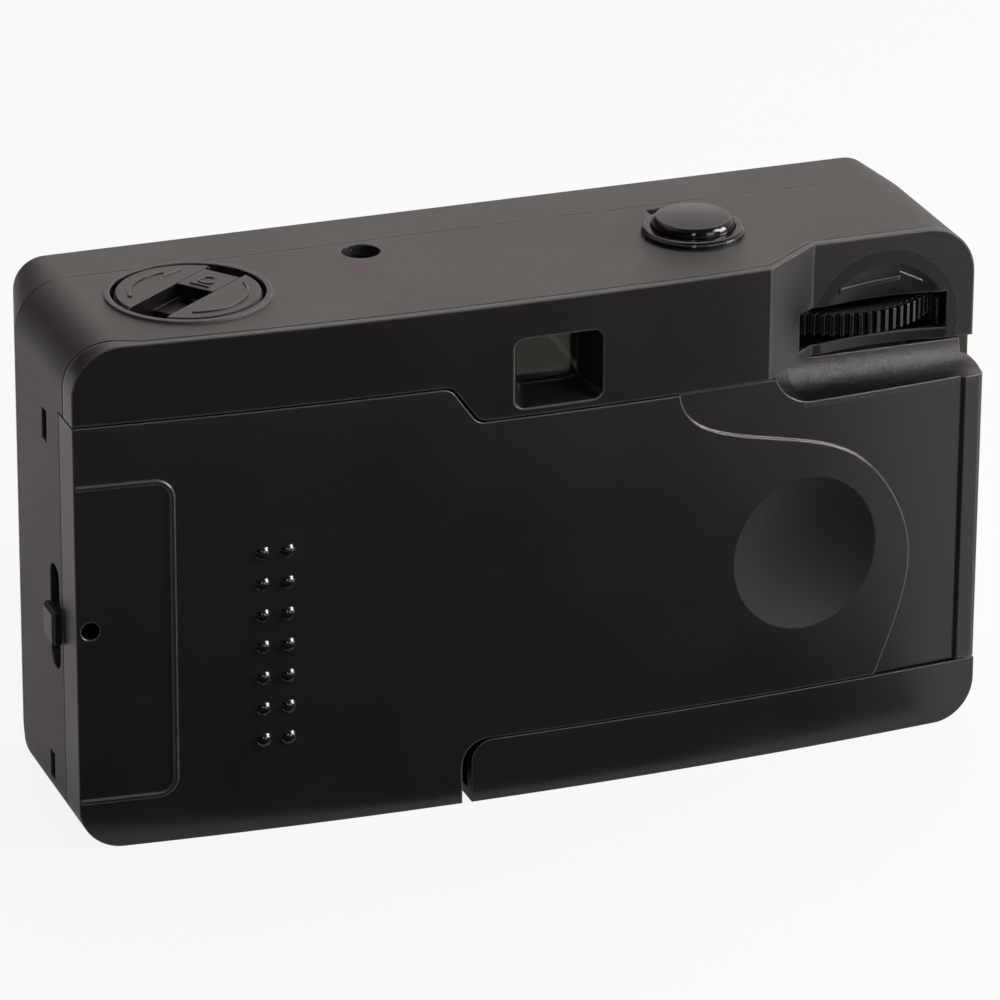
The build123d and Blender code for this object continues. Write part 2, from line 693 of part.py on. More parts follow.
def make_battery_door():
    """L-shaped door: rear strip, underside plate and hinge knuckles."""
    points, rounds = strip_outline()
    strip = case_prism(0, door_lip_y, 30) - behind(plain_back(0))
    strip -= case_prism(battery_plate, -10, 40) - behind(plain_back(wall))
    strip = strip & wall_plan(points, -10, 40, rounds)
    plate = block(battery_door_x0, strip_end_x, battery_hinge_y, door_lip_y + 1, 0, battery_plate)
    plate -= block(-60, 30, battery_hinge_y - 1, battery_hinge_y + 0.2, -1, 0.06)
    door = strip + plate
    door += rod_x(battery_hinge_y, battery_hinge_z, battery_door_x0, strip_end_x, battery_hinge_radius)
    door -= rod_x(battery_hinge_y, battery_hinge_z, -60, 30, battery_pin_radius + shaft_gap)
    for x0 in battery_lugs:
        door -= block(x0 - 0.2, x0 + 1.4, battery_hinge_y - 3, battery_hinge_y + 1.7, -1, 5)
    # Snap tabs that reach up behind the back door
    for x in (-46.0, -8.0):
        tab_y = back_at(x) - back_wall - 0.5
        door += block(x - 3, x + 3, tab_y - 1.0, tab_y, 4.0, strip_top_z + 0.8)
        door += block(x - 3, x + 3, tab_y - 0.1, back_at(x) - 1.0, 4.0, strip_top_z - 0.6)
    # Ribs that steady the cell
    for x in (-20.0, -14.0, 3.0):
        rib = block(x - 0.5, x + 0.5, 3.4, back_at(x) - 0.6, 0.6, 3.4)
        door += rib - rod_x(battery_y, battery_z, x - 2, x + 2, battery_radius + 0.2)
    return door


def make_battery_pin():
    """Steel pin of the battery door."""
    x0 = battery_lugs[0] + 0.1
    x1 = battery_lugs[-1] + 1.1
    return rod_x(battery_hinge_y, battery_hinge_z, x0, x1, battery_pin_radius)


def make_battery():
    """Cell with its raised positive end and its crimped rim."""
    can_x = battery_plus_x + 1.2
    cell = rod_x(battery_y, battery_z, can_x, battery_plus_x + battery_length, battery_radius)
    cell = chamfer(cell.edges(), 0.5)
    return cell + rod_x(battery_y, battery_z, battery_plus_x, can_x + 0.3, 1.9)


def make_battery_spring():
    """Folded strip contact that presses on the cell's flat end."""
    x = battery_plus_x + battery_length + 0.1
    fold = [(x, 9.3), (x + 0.1, 5.2), (x + 2.6, 2.2), (x + 2.6, 11.0), (x + 2.2, 11.0),
            (x + 2.2, 3.4), (x + 0.5, 5.4), (x + 0.4, 9.3)]
    return wall_plan(fold, battery_y - 2.2, battery_y + 2.2)


def make_battery_contact():
    """Flat contact of the cell's raised end."""
    x = battery_plus_x - 0.15
    strip = block(x - 0.4, x, battery_y - 2.2, battery_y + 2.2, 3.6, 10.2)
    return strip + rod_x(battery_y, battery_z, x - 0.1, x + 0.1, 1.4)


def film_line(extra=0.0):
    """Plan line of the film bed's face."""
    return back_arc(reach, -reach, film_set_back + extra)


def make_main_frame():
    """Inner moulding: film bed and gate, light-tight cone, both chambers and the deck."""
    room = cartridge_radius + cartridge_gap
    spool_outer = spool_room_radius + chamber_wall
    plate_y1 = plate_y0 + plate_thick
    inner = wall + fit_gap
    # Cross plate that ties the chambers together
    body = case_prism(inner, plate_y0, plate_y1)
    far = case_width/2 + 3
    above = case_height + 7
    body -= block(case_width/2 - 5.1, far, -20, 20, 10, 46)
    body -= block(-far, 3.1 - case_width/2, -20, 20, deck_z - 1, above)
    body -= block(-far, 19.5, -20, 20, -5, 12.4)
    body -= block(19.5, far, -20, 20, -5, 4.4)
    body -= block(-far, 5.6, -20, 20, deck_z + deck_thick, above)
    body -= block(5.0, far, -20, 20, chamber_top + deck_thick, above)
    # Cartridge chamber
    chamber_z0 = chamber_top - cartridge_height - 0.6
    body += post(cartridge_x, cartridge_y, chamber_z0 - 1.2, chamber_top + deck_thick, room + chamber_wall)
    # Take-up chamber and the deck over it
    body += post(spool_x, spool_y, spool_floor_z - 1.2, deck_z + deck_thick, spool_outer)
    deck_x0 = spool_x - 11.6
    body += block(deck_x0, finder_x - 6.9, front_wall_y + 1.2, plate_y1, deck_z, deck_z + deck_thick)
    # Film bed, its guide rails and the cone behind the gate
    body += film_bed()
    wide = (frame_width + 2.6, frame_height + 2.6)
    body += frustum(0, film_z, (11.4, 9.4), wide, front_wall_y, bed_back_y)
    body += block(-14.0, 11.0, front_wall_y, front_wall_y + 1.2, film_z - 11.0, deck_z + deck_thick)
    body += sprocket_pocket()
    body += battery_bay()
    # Keep clear of the back door, the rear panel and the door's cove
    body -= behind(plain_back(back_wall + run_gap)) - block(-25, 25, 0, 30, 11, 48)
    body -= block(-far, recess_edge_x, spool_y + 8.7, 30, spool_floor_z - 2, above)
    # Hollow out
    body -= post(cartridge_x, cartridge_y, chamber_z0, chamber_top, room)
    body -= block(cartridge_x - room, cartridge_x + room, cartridge_y, 20, chamber_z0, chamber_top)
    body -= post(cartridge_x, cartridge_y, 0, chamber_z0 + 1, 6.2)
    body -= post(cartridge_x, cartridge_y, chamber_top - 1, 70, shaft_radius + shaft_gap)
    body -= post(spool_x, spool_y, spool_floor_z, deck_z, spool_room_radius)
    spool_x0 = spool_x - spool_room_radius
    spool_x1 = spool_x + spool_room_radius
    body -= block(spool_x0, spool_x1, spool_y, 20, spool_floor_z, deck_z)
    body -= post(spool_x, spool_y, 0, spool_floor_z + 1, 2.0 + shaft_gap)
    body -= post(spool_x, spool_y, deck_z - 1, 70, 2.5 + shaft_gap)
    # The sprocket's drum shows through the bed and its shaft passes the deck
    pocket = sprocket_radius + tooth_height + run_gap
    pocket_floor = perforation_z - 4.0
    body -= post(sprocket_x, sprocket_y, pocket_floor, deck_z, pocket)
    body -= block(sprocket_x - 5.0, sprocket_x + 5.0, sprocket_y, 20, pocket_floor, deck_z)
    body -= post(sprocket_x, sprocket_y, pocket_floor - 1.6, above, 1.5 + shaft_gap)
    bay_radius = battery_radius + 0.25
    bay_x0 = battery_plus_x - 0.7
    body -= rod_x(battery_y, battery_z, bay_x0, battery_plus_x + battery_length + 3.0, bay_radius)
    body -= block(bay_x0, strip_end_x + 0.2, battery_y - bay_radius, 20, -1, battery_z)
    gate = (frame_width, frame_height)
    body -= frustum(0, film_z, (9.0, 7.0), gate, front_wall_y + 1.2, bed_back_y + 0.01)
    body -= rounded_tunnel(0, film_z, frame_width, frame_height, bed_back_y - 0.1, 20, 0.6)
    body -= rod_y(0, film_z, front_wall_y - 1, front_wall_y + 2, 3.0)
    for x, z in screw_places:
        body -= rod_y(x, z, plate_y0 - 1, plate_y1 + 1, screw_radius + 0.15)
    body -= post(release_x, release_y, 40, 70, 1.0 + 0.15)
    # Pivots of the striker, the shutter blade and the lens holder
    deck_top = deck_z + deck_thick
    body += post(striker_x, striker_y, deck_top - 0.1, deck_top + 2.4, striker_pin_radius)
    body += post(*spring_foot, deck_top - 0.1, deck_top + 1.6, 0.9)
    body += rod_y(blade_x, blade_z, front_wall_y - 1.1, front_wall_y + 0.1, blade_pin_radius)
    for x, z in holder_posts:
        body += rod_y(x, z, front_wall_y - 1.1, front_wall_y + 0.1, 1.3)
    # Bracket of the release lever
    for y0 in (button_y - 2.4, button_y + 1.2):
        body += block(lever_x - 1.6, lever_x + 1.6, y0, y0 + 1.2, deck_top - 0.1, lever_z + 1.4)
    body -= rod_y(lever_x, lever_z, button_y - 5, button_y + 5, 0.6 + 0.02)
    return body


chamber_top = film_z + cartridge_height/2 + 0.3
front_wall_y = -10.6
bed_back_y = 12.6
striker_x = -12.8
striker_y = -1.0
striker_pin_radius = 1.1
blade_x = -10.0
blade_z = deck_z - 4.4
blade_pin_radius = 0.8
lever_x = -19.5
lever_z = case_height - 8.6
spring_foot = (-19.4, -7.2)
holder_posts = [(-12.0, film_z - 7.5), (9.0, film_z - 7.5), (9.0, film_z + 11.5)]


def film_bed():
    """Curved bed round the gate, with low inner rails and higher outer guide rails."""
    low = film_z - film_width/2 - 0.9
    high = film_z + film_width/2 + 0.7
    field = block(-bed_half, bed_half + 4.0, 0, 30, low, high)
    skin = behind(film_line(bed_wall + 0.4)) - behind(film_line(0.5))
    bed = field & skin
    inner_skin = behind(film_line(1.0)) - behind(film_line(0.1))
    outer_skin = behind(film_line(1.0)) - behind(film_line(-0.5))
    for z in (film_z - 14.0, film_z + 14.0):
        bed += block(-bed_half, bed_half + 4.0, 0, 30, z - 0.8, z + 0.8) & inner_skin
    for z0, z1 in ((low, low + 0.8), (high - 0.6, high)):
        bed += block(-bed_half, bed_half + 4.0, 0, 30, z0, z1) & outer_skin
    # Side walls that carry the bed on the cross plate
    for z0, z1 in ((low, low + 1.2), (high - 1.2, high)):
        bed += block(-bed_half, bed_half + 4.0, plate_y0, 30, z0, z1) - behind(film_line(0.6))
    for x0, x1 in ((-bed_half, -bed_half + 1.2), (bed_half + 2.8, bed_half + 4.0)):
        bed += block(x0, x1, plate_y0, 30, low, high) - behind(film_line(0.6))
    return bed


def sprocket_pocket():
    """Walls round the film sprocket under the deck."""
    outer = post(sprocket_x, sprocket_y, perforation_z - 5.0, deck_z + 0.1, sprocket_radius + 2.5)
    return outer & block(-35.0, -bed_half + 0.2, -5, sprocket_y + 2.5, 30, deck_z + 5)


def battery_bay():
    """Half-round bay over the cell."""
    x0 = battery_plus_x - 1.7
    x1 = battery_plus_x + battery_length + 4.0
    bay = rod_x(battery_y, battery_z, x0, x1, battery_radius + 1.25)
    return bay & block(x0, x1, 0, 20, wall + 0.1, 20)


def make_rewind_knob():
    """Knob with two half-moon pads, a trough for the crank and a finger well."""
    top = case_height + knob_rise
    knob = post(cartridge_x, cartridge_y, top - knob_depth, top, knob_radius)
    knob = chamfer(knob.edges().group_by(Axis.Z)[-1], 0.35)
    knob -= trough_block(-knob_radius - 1, knob_radius + 1, trough_width, top - 1.9, top + 1)
    knob -= trough_block(-knob_radius + 1.0, -3.2, trough_width, top - 3.2, top)
    knob -= trough_block(0.4, 4.9, 3.8, top - 3.4, top)
    knob -= post(cartridge_x, cartridge_y, top - knob_depth - 1, top - knob_depth + 0.5, 1.5 + shaft_gap)
    # Ears that hold the crank's pin
    x, y = along_trough(crank_pivot)
    place = Pos(x, y, top - crank_pin_drop) * Rot(0, 0, trough_angle) * Rot(90, 0, 0)
    knob -= place * Cylinder(0.5 + 0.02, trough_width + 3.0)
    return knob


def make_rewind_fork():
    """Shaft that turns the film spool, with a shoulder and two prongs."""
    top = case_height + knob_rise - knob_depth
    shoulder = chamber_top - knob_lift - 0.2
    shaft = post(cartridge_x, cartridge_y, shoulder - 1.0, top, shaft_radius)
    shaft += post(cartridge_x, cartridge_y, top - 0.1, top + 0.45, 1.5)
    shaft += post(cartridge_x, cartridge_y, shoulder - 1.0, shoulder, 3.4)
    tip = post(cartridge_x, cartridge_y, shoulder - 4.2, shoulder - 1.0, 2.6)
    tip -= block(cartridge_x - 0.9, cartridge_x + 0.9, cartridge_y - 5, cartridge_y + 5,
                 shoulder - 5, shoulder - 1.0)
    return shaft + tip


def make_knob_washer():
    """Friction washer under the knob that turns with it."""
    z = case_height + knob_rise - knob_depth - 0.9
    return ring(cartridge_x, cartridge_y, z, z + 0.8, 6.4, shaft_radius + shaft_gap)


def make_rewind_crank():
    """Fold-out crank with a finger post on its underside."""
    top = case_height + knob_rise
    x, y = along_trough(crank_pivot)
    plate = trough_block(crank_near, crank_pivot, crank_width, top - 1.6, top)
    place = Pos(x, y, top - crank_pin_drop) * Rot(0, 0, trough_angle) * Rot(90, 0, 0)
    plate += (place * Cylinder(0.85, crank_width)) & trough_block(0, 9, 9, top - 5, top)
    fx, fy = along_trough(2.8)
    plate += post(fx, fy, top - 3.2, top - 1.6, 1.5)
    plate -= place * Cylinder(0.5 + shaft_gap, 9)
    return plate


def make_crank_pin():
    """Pin of the crank."""
    top = case_height + knob_rise
    x, y = along_trough(crank_pivot)
    place = Pos(x, y, top - crank_pin_drop) * Rot(0, 0, trough_angle) * Rot(90, 0, 0)
    return place * Cylinder(0.5, trough_width + 1.6)


def make_button_collar():
    """Raised ring round the shutter button."""
    seat = collar_radius - 0.8 - fit_gap/2
    collar = post(button_x, button_y, case_height, case_height + collar_rise, collar_radius)
    collar = chamfer(collar.edges().group_by(Axis.Z)[-1], 0.35)
    collar += post(button_x, button_y, case_height - wall - 0.3, case_height + 0.2, seat)
    collar -= post(button_x, button_y, case_height - 0.75, case_height + 5, button_radius + 0.12 - 0.3)
    return collar - post(button_x, button_y, case_height - 5, case_height + 5, 1.6 + shaft_gap)


def make_shutter_button():
    """Gently domed button with a strongly rounded edge, on its stem."""
    rim = button_radius - 0.3
    foot = case_height + button_travel - 0.6
    top = case_height + button_rise
    ball = (rim**2 + button_crown**2)/(2*button_crown)
    dome = post(button_x, button_y, foot, top, rim)
    dome = fillet(dome.edges().group_by(Axis.Z)[-1], button_edge)
    dome = dome & (Pos(button_x, button_y, top - ball) * Sphere(ball))
    dome += post(button_x, button_y, stem_foot_z + 1.8, case_height + 1.5, 1.6)
    return dome + post(button_x, button_y, stem_foot_z, stem_foot_z + 2, 0.8)


stem_foot_z = case_height - 6.8


def make_release_lever():
    """Rocker under the button's stem whose tip holds the striker."""
    z1 = stem_foot_z - 0.1
    z0 = z1 - 1.1
    y0 = button_y - 1.0
    y1 = button_y + 1.0
    lever = block(button_x - 1.6, tip_x + 1.1, y0, y1, z0, z1)
    lever += rod_y(lever_x, lever_z, y0, y1, 1.5)
    catch_z = deck_z + deck_thick + arm_lift + arm_thick - 0.3
    lever += block(tip_x, tip_x + 1.1, y0, y1, catch_z, z1)
    return lever - rod_y(lever_x, lever_z, y0 - 1, y1 + 1, 0.6 + shaft_gap)


tip_x = -15.3
arm_lift = 0.35
arm_thick = 1.2


def make_lever_pin():
    """Pin of the release lever."""
    return rod_y(lever_x, lever_z, button_y - 2.2, button_y + 2.2, 0.6)


def make_button_spring():
    """Leaf spring that lifts the release lever and the button."""
    y0 = button_y - 0.8
    y1 = button_y + 0.8
    foot = deck_z + deck_thick
    lever_foot = stem_foot_z - 1.2
    leaf = [(-28.2, foot), (-23.2, foot), (-23.2, foot + 0.35), (-27.4, foot + 0.35),
            (-24.0, lever_foot), (-24.4, lever_foot)]
    return wall_plan(leaf, y0, y1)


def make_striker_lever():
    """Cocked lever that kicks the shutter blade open."""
    z0 = deck_z + deck_thick + arm_lift
    z1 = z0 + arm_thick
    pivot = (striker_x, striker_y)
    peg = (-12.6, front_wall_y - 0.8)
    lever = arm([peg, pivot, (-12.6, 6.6), (-20.2, 7.6)], 2.0, z0, z1)
    lever += post(*peg, deck_z - 1.3, z1, 0.6)
    lever += post(striker_x, striker_y, z0, z1 + 0.6, 2.3)
    return lever - post(striker_x, striker_y, z0 - 1, z1 + 2, striker_pin_radius + shaft_gap)


def make_striker_spring():
    """Leaf spring that drives the striker, clamped on a stud of the deck."""
    z0 = deck_z + deck_thick + arm_lift
    foot_x, foot_y = spring_foot
    start = (foot_x + 0.8, foot_y)
    tip = (striker_x - 1.05, -5.6)
    turn = degrees(atan2(tip[1] - start[1], tip[0] - start[0]))
    length = hypot(tip[0] - start[0], tip[1] - start[1])
    middle = Pos((start[0] + tip[0])/2, (start[1] + tip[1])/2, z0 + 0.5)
    leaf = middle * Rot(0, 0, turn) * Box(length - 0.5, 0.3, 1.0)
    return leaf + ring(foot_x, foot_y, z0, z0 + 1.0, 1.3, 0.9 + 0.02)


def make_shutter_blade():
    """Thin blade that covers the lens stop, with an ear for the striker."""
    y0 = front_wall_y - 0.8
    y1 = front_wall_y - 0.4
    disc = rod_y(0, film_z, y0, y1, 2.8)
    limb = [(blade_x - 1.3, blade_z - 0.9), (blade_x + 1.3, blade_z + 0.9), (1.9, film_z + 2.0),
            (-1.9, film_z - 1.2)]
    ear = [(-11.4, blade_z), (-11.6, deck_z - 0.1), (-10.2, deck_z - 0.1), (-8.6, blade_z)]
    blade = disc + wall_plan(limb, y0, y1) + wall_plan(ear, y0, y1) + rod_y(blade_x, blade_z, y0, y1, 1.7)
    return blade - rod_y(blade_x, blade_z, y0 - 1, y1 + 1, blade_pin_radius + shaft_gap)


def make_lens_holder():
    """Plate with the lens stop and the barrel that seats the lens."""
    y1 = front_wall_y - 1.1
    y0 = y1 - 0.8
    low = film_z - 10.0
    high = film_z + 13.5
    plate = wall_plan([(-14.0, low), (11.0, low), (11.0, high), (-3.0, high), (-14.0, high - 5.0)], y0, y1)
    holder = plate + rod_y(0, film_z, front_y - 0.3, y1, 6.2)
    holder -= rod_y(0, film_z, front_y - 1, y0 - 0.3, lens_radius + shaft_gap)
    holder -= rod_y(0, film_z, y0 - 1, y1 + 1, lens_stop_radius)
    return holder


def make_taking_lens():
    """Single meniscus lens."""
    y1 = front_wall_y - 2.2
    y0 = y1 - 1.9
    lens = rod_y(0, film_z, y0, y1, lens_radius)
    lens = lens & (Pos(0, y0 - 0.0 + 9.0, film_z) * Sphere(9.0))
    return lens - Pos(0, y1 + 13.5, film_z) * Sphere(14.2)


def make_lens_ring():
    """Bezel in front of the lens with a stepped conical mouth."""
    y0 = front_y - lens_ring_rise
    y1 = front_y - 0.35
    outline = [(3.0, y1), (8.0, y1), (8.0, y1 - 0.65), (9.4, y1 - 0.65), (9.4, y0 + 0.6), (8.8, y0),
               (7.6, y0), (6.6, y0 + 0.6), (5.6, y0 + 0.6), (4.6, y0 + 1.1), (3.0, y0 + 1.1)]
    face = make_face(Polyline(*[(r, y) for r, y in outline], close=True))
    turned = revolve(Plane.XY * face, Axis.Y, 360)
    return Pos(0, 0, film_z) * turned


def make_finder_housing():
    """Light-tight tunnel between the finder's two lenses."""
    y0 = front_y + wall + 0.2
    y1 = back_at(0) - 4.5
    outer = rounded_tunnel(finder_x, finder_z, finder_width + 2.4, finder_height + 1.2, y0, y1, 0.8)
    inner = rounded_tunnel(finder_x, finder_z, finder_width, tunnel_height, y0 - 1, y1 + 1, 0.6)
    return outer - inner


def make_finder_front_lens():
    """Diverging front lens of the finder."""
    y0 = front_y + 0.4
    width = finder_width - 0.2
    plate = rounded_tunnel(finder_x, finder_z, finder_width + 1.9, finder_height + 0.7, y0, y0 + 1.2, 1.0)
    plate += rounded_tunnel(finder_x, finder_z, width, tunnel_height - 0.2, y0 + 1.0, y0 + 2.6, 0.6)
    return plate - Pos(finder_x, y0 + 2.6 + 15.0, finder_z) * Sphere(15.8)


def make_eyepiece_lens():
    """Converging rear lens of the finder."""
    y1 = back_at(0) - 4.7
    y0 = y1 - 1.8
    plate = rounded_tunnel(finder_x, finder_z, finder_width - 0.2, tunnel_height - 0.2, y0, y1, 0.6)
    return plate & (Pos(finder_x, y1 - 24.0, finder_z) * Sphere(24.0))


def make_flash_window():
    """Clear window of the flash with a flange behind the cover."""
    y1 = front_y + wall
    pane = rounded_tunnel(flash_x, flash_z, flash_width - 0.2, flash_height - 0.2, front_y, y1 + 0.1, 1.3)
    flange = rounded_tunnel(flash_x, flash_z, flash_width + 1.2, flash_height + 0.8, y1, y1 + 0.5, 1.4)
    for groove in range(7):
        z = flash_z - 3.9 + groove*1.3
        pane -= block(flash_x - 8.6, flash_x + 8.6, y1 - 0.35, y1 + 1, z - 0.3, z + 0.3)
    return pane + (flange - rounded_tunnel(flash_x, flash_z, flash_width - 2.0, flash_height - 1.6,
                                           front_y, front_y + 5, 1.0))


def make_flash_reflector():
    """Bright bowl behind the flash window."""
    y0 = front_y + wall + 0.6
    y1 = -8.7
    outer = frustum(flash_x, flash_z, (19.4, 9.8), (16.4, 3.8), y0, y1)
    inner = frustum(flash_x, flash_z, (18.6, 9.0), (15.8, 3.2), y0 - 0.01, y1 - 0.4)
    return outer - inner


def make_flash_tube():
    """Flash tube in the bottom of the bowl."""
    y = -10.6
    tube = rod_x(y, flash_z, flash_x - 7.6, flash_x + 7.6, 1.1)
    return tube + rod_x(y, flash_z, flash_x - 8.0, flash_x + 8.0, 0.35)


board_x0 = 13.8
board_x1 = 24.9
board_y = -2.3


def make_flash_board():
    """Circuit board with its small components."""
    board = block(board_x0, board_x1, board_y, board_y + 1.0, 13.5, 46.0)
    board += block(15.0, 18.0, board_y + 0.9, board_y + 2.6, 16.0, 21.0)
    for z in (25.0, 28.0, 31.0):
        board += rod_x(board_y + 1.6, z, 15.0, 20.5, 0.8)
    return board


def make_flash_capacitor():
    """Storage capacitor in front of the board."""
    can = post(19.2, board_y - 4.5, 14.0, 39.0, 4.2)
    return chamfer(can.edges().group_by(Axis.Z)[-1], 0.6)


def make_trigger_coil():
    """Trigger transformer on the board."""
    coil = block(15.2, 21.4, board_y - 4.6, board_y - 0.05, 40.2, 45.4)
    return fillet(coil.edges().filter_by(Axis.Y), 1.2)


def make_flash_switch():
    """Slider that turns the flash on, with its ribbed knob in the cover's slot."""
    y0 = front_y + wall + 0.2
    plate = block(switch_x - 2.4, switch_x + 2.4, y0, y0 + 0.8, switch_z - 6.5, switch_z + 3.5)
    plate += block(switch_x - 1.4, switch_x + 1.4, front_y - 0.7, y0 + 0.1, switch_z - 3.6, switch_z + 0.6)
    for row in range(3):
        z = switch_z - 2.9 + row*1.2
        plate -= block(switch_x - 2, switch_x + 2, front_y - 1, front_y - 0.35, z, z + 0.45)
    return plate


def make_ready_lamp():
    """Small glow lamp under its hole in the top."""
    shoulder = case_height - 2.2
    crown = 0.7
    ball = (lamp_radius**2 + crown**2)/(2*crown)
    lamp = post(lamp_x, lamp_y, case_height - 8.0, case_height, lamp_radius)
    return lamp & (Pos(lamp_x, lamp_y, shoulder + crown - ball) * Sphere(ball) + lamp_stem(shoulder))


def lamp_stem(top):
    """Straight part of the lamp."""
    return post(lamp_x, lamp_y, case_height - 8.0, top, lamp_radius)


def make_thumb_wheel():
    """Ribbed wheel with its ratchet ring underneath."""
    bore = 2.5 + 0.02
    top = wheel_z + 5
    wheel = toothed(spool_x, spool_y, wheel_z, wheel_thick, wheel_radius, wheel_tooth_depth, wheel_teeth,
                    bore, 0.55, 0.35)
    wheel -= ring(spool_x, spool_y, wheel_z + 1.3, top, 10.6, 4.2)
    ratchet = toothed(spool_x, spool_y, wheel_z - 1.7, 1.75, ratchet_radius, 0.8, ratchet_teeth, bore, 0.15)
    return wheel + ratchet


def make_take_up_spool():
    """Slotted core that winds the film, with its pivot, flange and shaft."""
    low = spool_floor_z + 0.3
    spool = post(spool_x, spool_y, low, deck_z - 0.4, spool_core_radius)
    spool += post(spool_x, spool_y, low, low + 0.8, 8.6)
    spool -= block(spool_x - 6, spool_x + 6, spool_y - 0.7, spool_y + 0.7, 16.0, 43.0)
    spool += post(spool_x, spool_y, low + 1.0, deck_z - 1.0, 1.4)
    spool += post(spool_x, spool_y, spool_floor_z - 1.1, low + 0.1, 2.0)
    return spool + post(spool_x, spool_y, deck_z - 0.5, wheel_z + wheel_thick, 2.5)


def make_wheel_pawl():
    """Flat spring pawl that lets the wheel turn one way."""
    z0 = wheel_z - 1.6
    z1 = wheel_z - 0.3
    foot = (spool_x + 2.6, spool_y - 10.0)
    tip = (spool_x + 7.9, spool_y - 1.4)
    pawl = post(foot[0], foot[1], deck_z + deck_thick, z1, 1.2)
    dx = tip[0] - foot[0]
    dy = tip[1] - foot[1]
    length = hypot(dx, dy)
    place = Pos((foot[0] + tip[0])/2, (foot[1] + tip[1])/2, (z0 + z1)/2) * Rot(0, 0, degrees(atan2(dy, dx)))
    return pawl + place * Box(length, 0.45, z1 - z0)


def make_sprocket():
    """Film sprocket with its teeth, shaft and cocking cam."""
    z0 = perforation_z - 3.4
    drum = post(sprocket_x, sprocket_y, z0, sprocket_top, sprocket_radius)
    drum += post(sprocket_x, sprocket_y, sprocket_top, deck_z - 0.4, 3.0)
    rim = sprocket_radius
    drum -= ring(sprocket_x, sprocket_y, z0 + 1.0, perforation_z - 1.2, rim + 1, rim - 1.0)
    spike = frustum(0, perforation_z, (1.7, 2.2), (0.6, 1.4), rim - 0.4, rim + tooth_height)
    for tooth in range(sprocket_teeth):
        angle = 360.0*tooth/sprocket_teeth + 22.5
        drum += Pos(sprocket_x, sprocket_y, 0) * Rot(0, 0, angle) * spike
    drum += post(sprocket_x, sprocket_y, z0 - 1.3, deck_z + deck_thick + 2.0, 1.5)
    cam_z = deck_z + deck_thick + arm_lift
    cam = post(sprocket_x, sprocket_y, cam_z, cam_z + arm_thick, 2.2)
    nose = [(sprocket_x, sprocket_y), (sprocket_x - 2.0, sprocket_y + 1.4)]
    cam += arm(nose, 2.4, cam_z, cam_z + arm_thick)
    return drum + cam


def make_counter_dial():
    """Frame counter dial with one ratchet tooth a frame."""
    z = case_height - wall - 2.2
    dial = toothed(counter_x, counter_y, z, 1.4, counter_radius, 0.45, counter_teeth, 1.5 + shaft_gap, 0.15)
    return dial


def make_dial_clip():
    """Ring that holds the counter dial on its post."""
    z = case_height - wall - 2.8
    return ring(counter_x, counter_y, z, z + 0.5, 2.6, 1.5 + 0.02)


def make_counter_window():
    """Clear pane over the counter."""
    return block(window_x0 + 0.08, window_x1 - 0.08, window_y0 + 0.08, window_y1 - 0.08, 61.65, 62.6)


def make_rewind_button():
    """Release button in the underside with its rod up to the deck."""
    button = post(release_x, release_y, 0.4, wall + 1.6, release_radius)
    button += post(release_x, release_y, 1.9, 3.1, release_radius + 0.8)
    return button + post(release_x, release_y, 2.0, deck_z + deck_thick + 0.4, 1.0)


def make_frame_screws():
    """Four screws that hold the frame to the front cover."""
    screws = None
    plate_y1 = plate_y0 + plate_thick
    for x, z in screw_places:
        screw = rod_y(x, z, -5.6, plate_y1 + 0.1, screw_radius)
        head = rod_y(x, z, plate_y1, plate_y1 + 1.1, 1.9)
        head -= block(x - 1.2, x + 1.2, plate_y1 + 0.6, plate_y1 + 2, z - 0.25, z + 0.25)
        head -= block(x - 0.25, x + 0.25, plate_y1 + 0.6, plate_y1 + 2, z - 1.2, z + 1.2)
        screws = screw + head if screws is None else screws + (screw + head)
    return screws


makers = {
    "main_shell": make_main_shell,
    "front_cover": make_front_cover,
    "rear_panel": make_rear_panel,
    "main_frame": make_main_frame,
    "frame_screws": make_frame_screws,
    "back_door": make_back_door,
    "door_hinge_pin": make_hinge_pin,
    "latch_slider": make_latch_slider,
    "battery_door": make_battery_door,
    "battery_door_pin": make_battery_pin,
    "battery": make_battery,
    "battery_spring": make_battery_spring,
    "battery_contact": make_battery_contact,
    "rewind_knob": make_rewind_knob,
    "rewind_fork": make_rewind_fork,
    "knob_washer": make_knob_washer,
    "rewind_crank": make_rewind_crank,
    "crank_pin": make_crank_pin,
    "shutter_button": make_shutter_button,
    "button_collar": make_button_collar,
    "button_spring": make_button_spring,
    "release_lever": make_release_lever,
    "lever_pin": make_lever_pin,
    "striker_lever": make_striker_lever,
    "striker_spring": make_striker_spring,
    "shutter_blade": make_shutter_blade,
    "lens_holder": make_lens_holder,
    "taking_lens": make_taking_lens,
    "lens_ring": make_lens_ring,
    "finder_housing": make_finder_housing,
    "finder_front_lens": make_finder_front_lens,
    "eyepiece_lens": make_eyepiece_lens,
    "flash_window": make_flash_window,
    "flash_reflector": make_flash_reflector,
    "flash_tube": make_flash_tube,
    "flash_board": make_flash_board,
    "flash_capacitor": make_flash_capacitor,
    "trigger_coil": make_trigger_coil,
    "flash_switch": make_flash_switch,
    "ready_lamp": make_ready_lamp,
    "thumb_wheel": make_thumb_wheel,
    "take_up_spool": make_take_up_spool,
    "wheel_pawl": make_wheel_pawl,
    "sprocket": make_sprocket,
    "counter_dial": make_counter_dial,
    "dial_clip": make_dial_clip,
    "counter_window": make_counter_window,
    "rewind_button": make_rewind_button,
}

os.makedirs("parts", exist_ok=True)
for name, make in makers.items():
    shape = make()
    export_step(shape, f"parts/{name}.step")
    print(name, len(shape.solids()), round(shape.volume, 1))
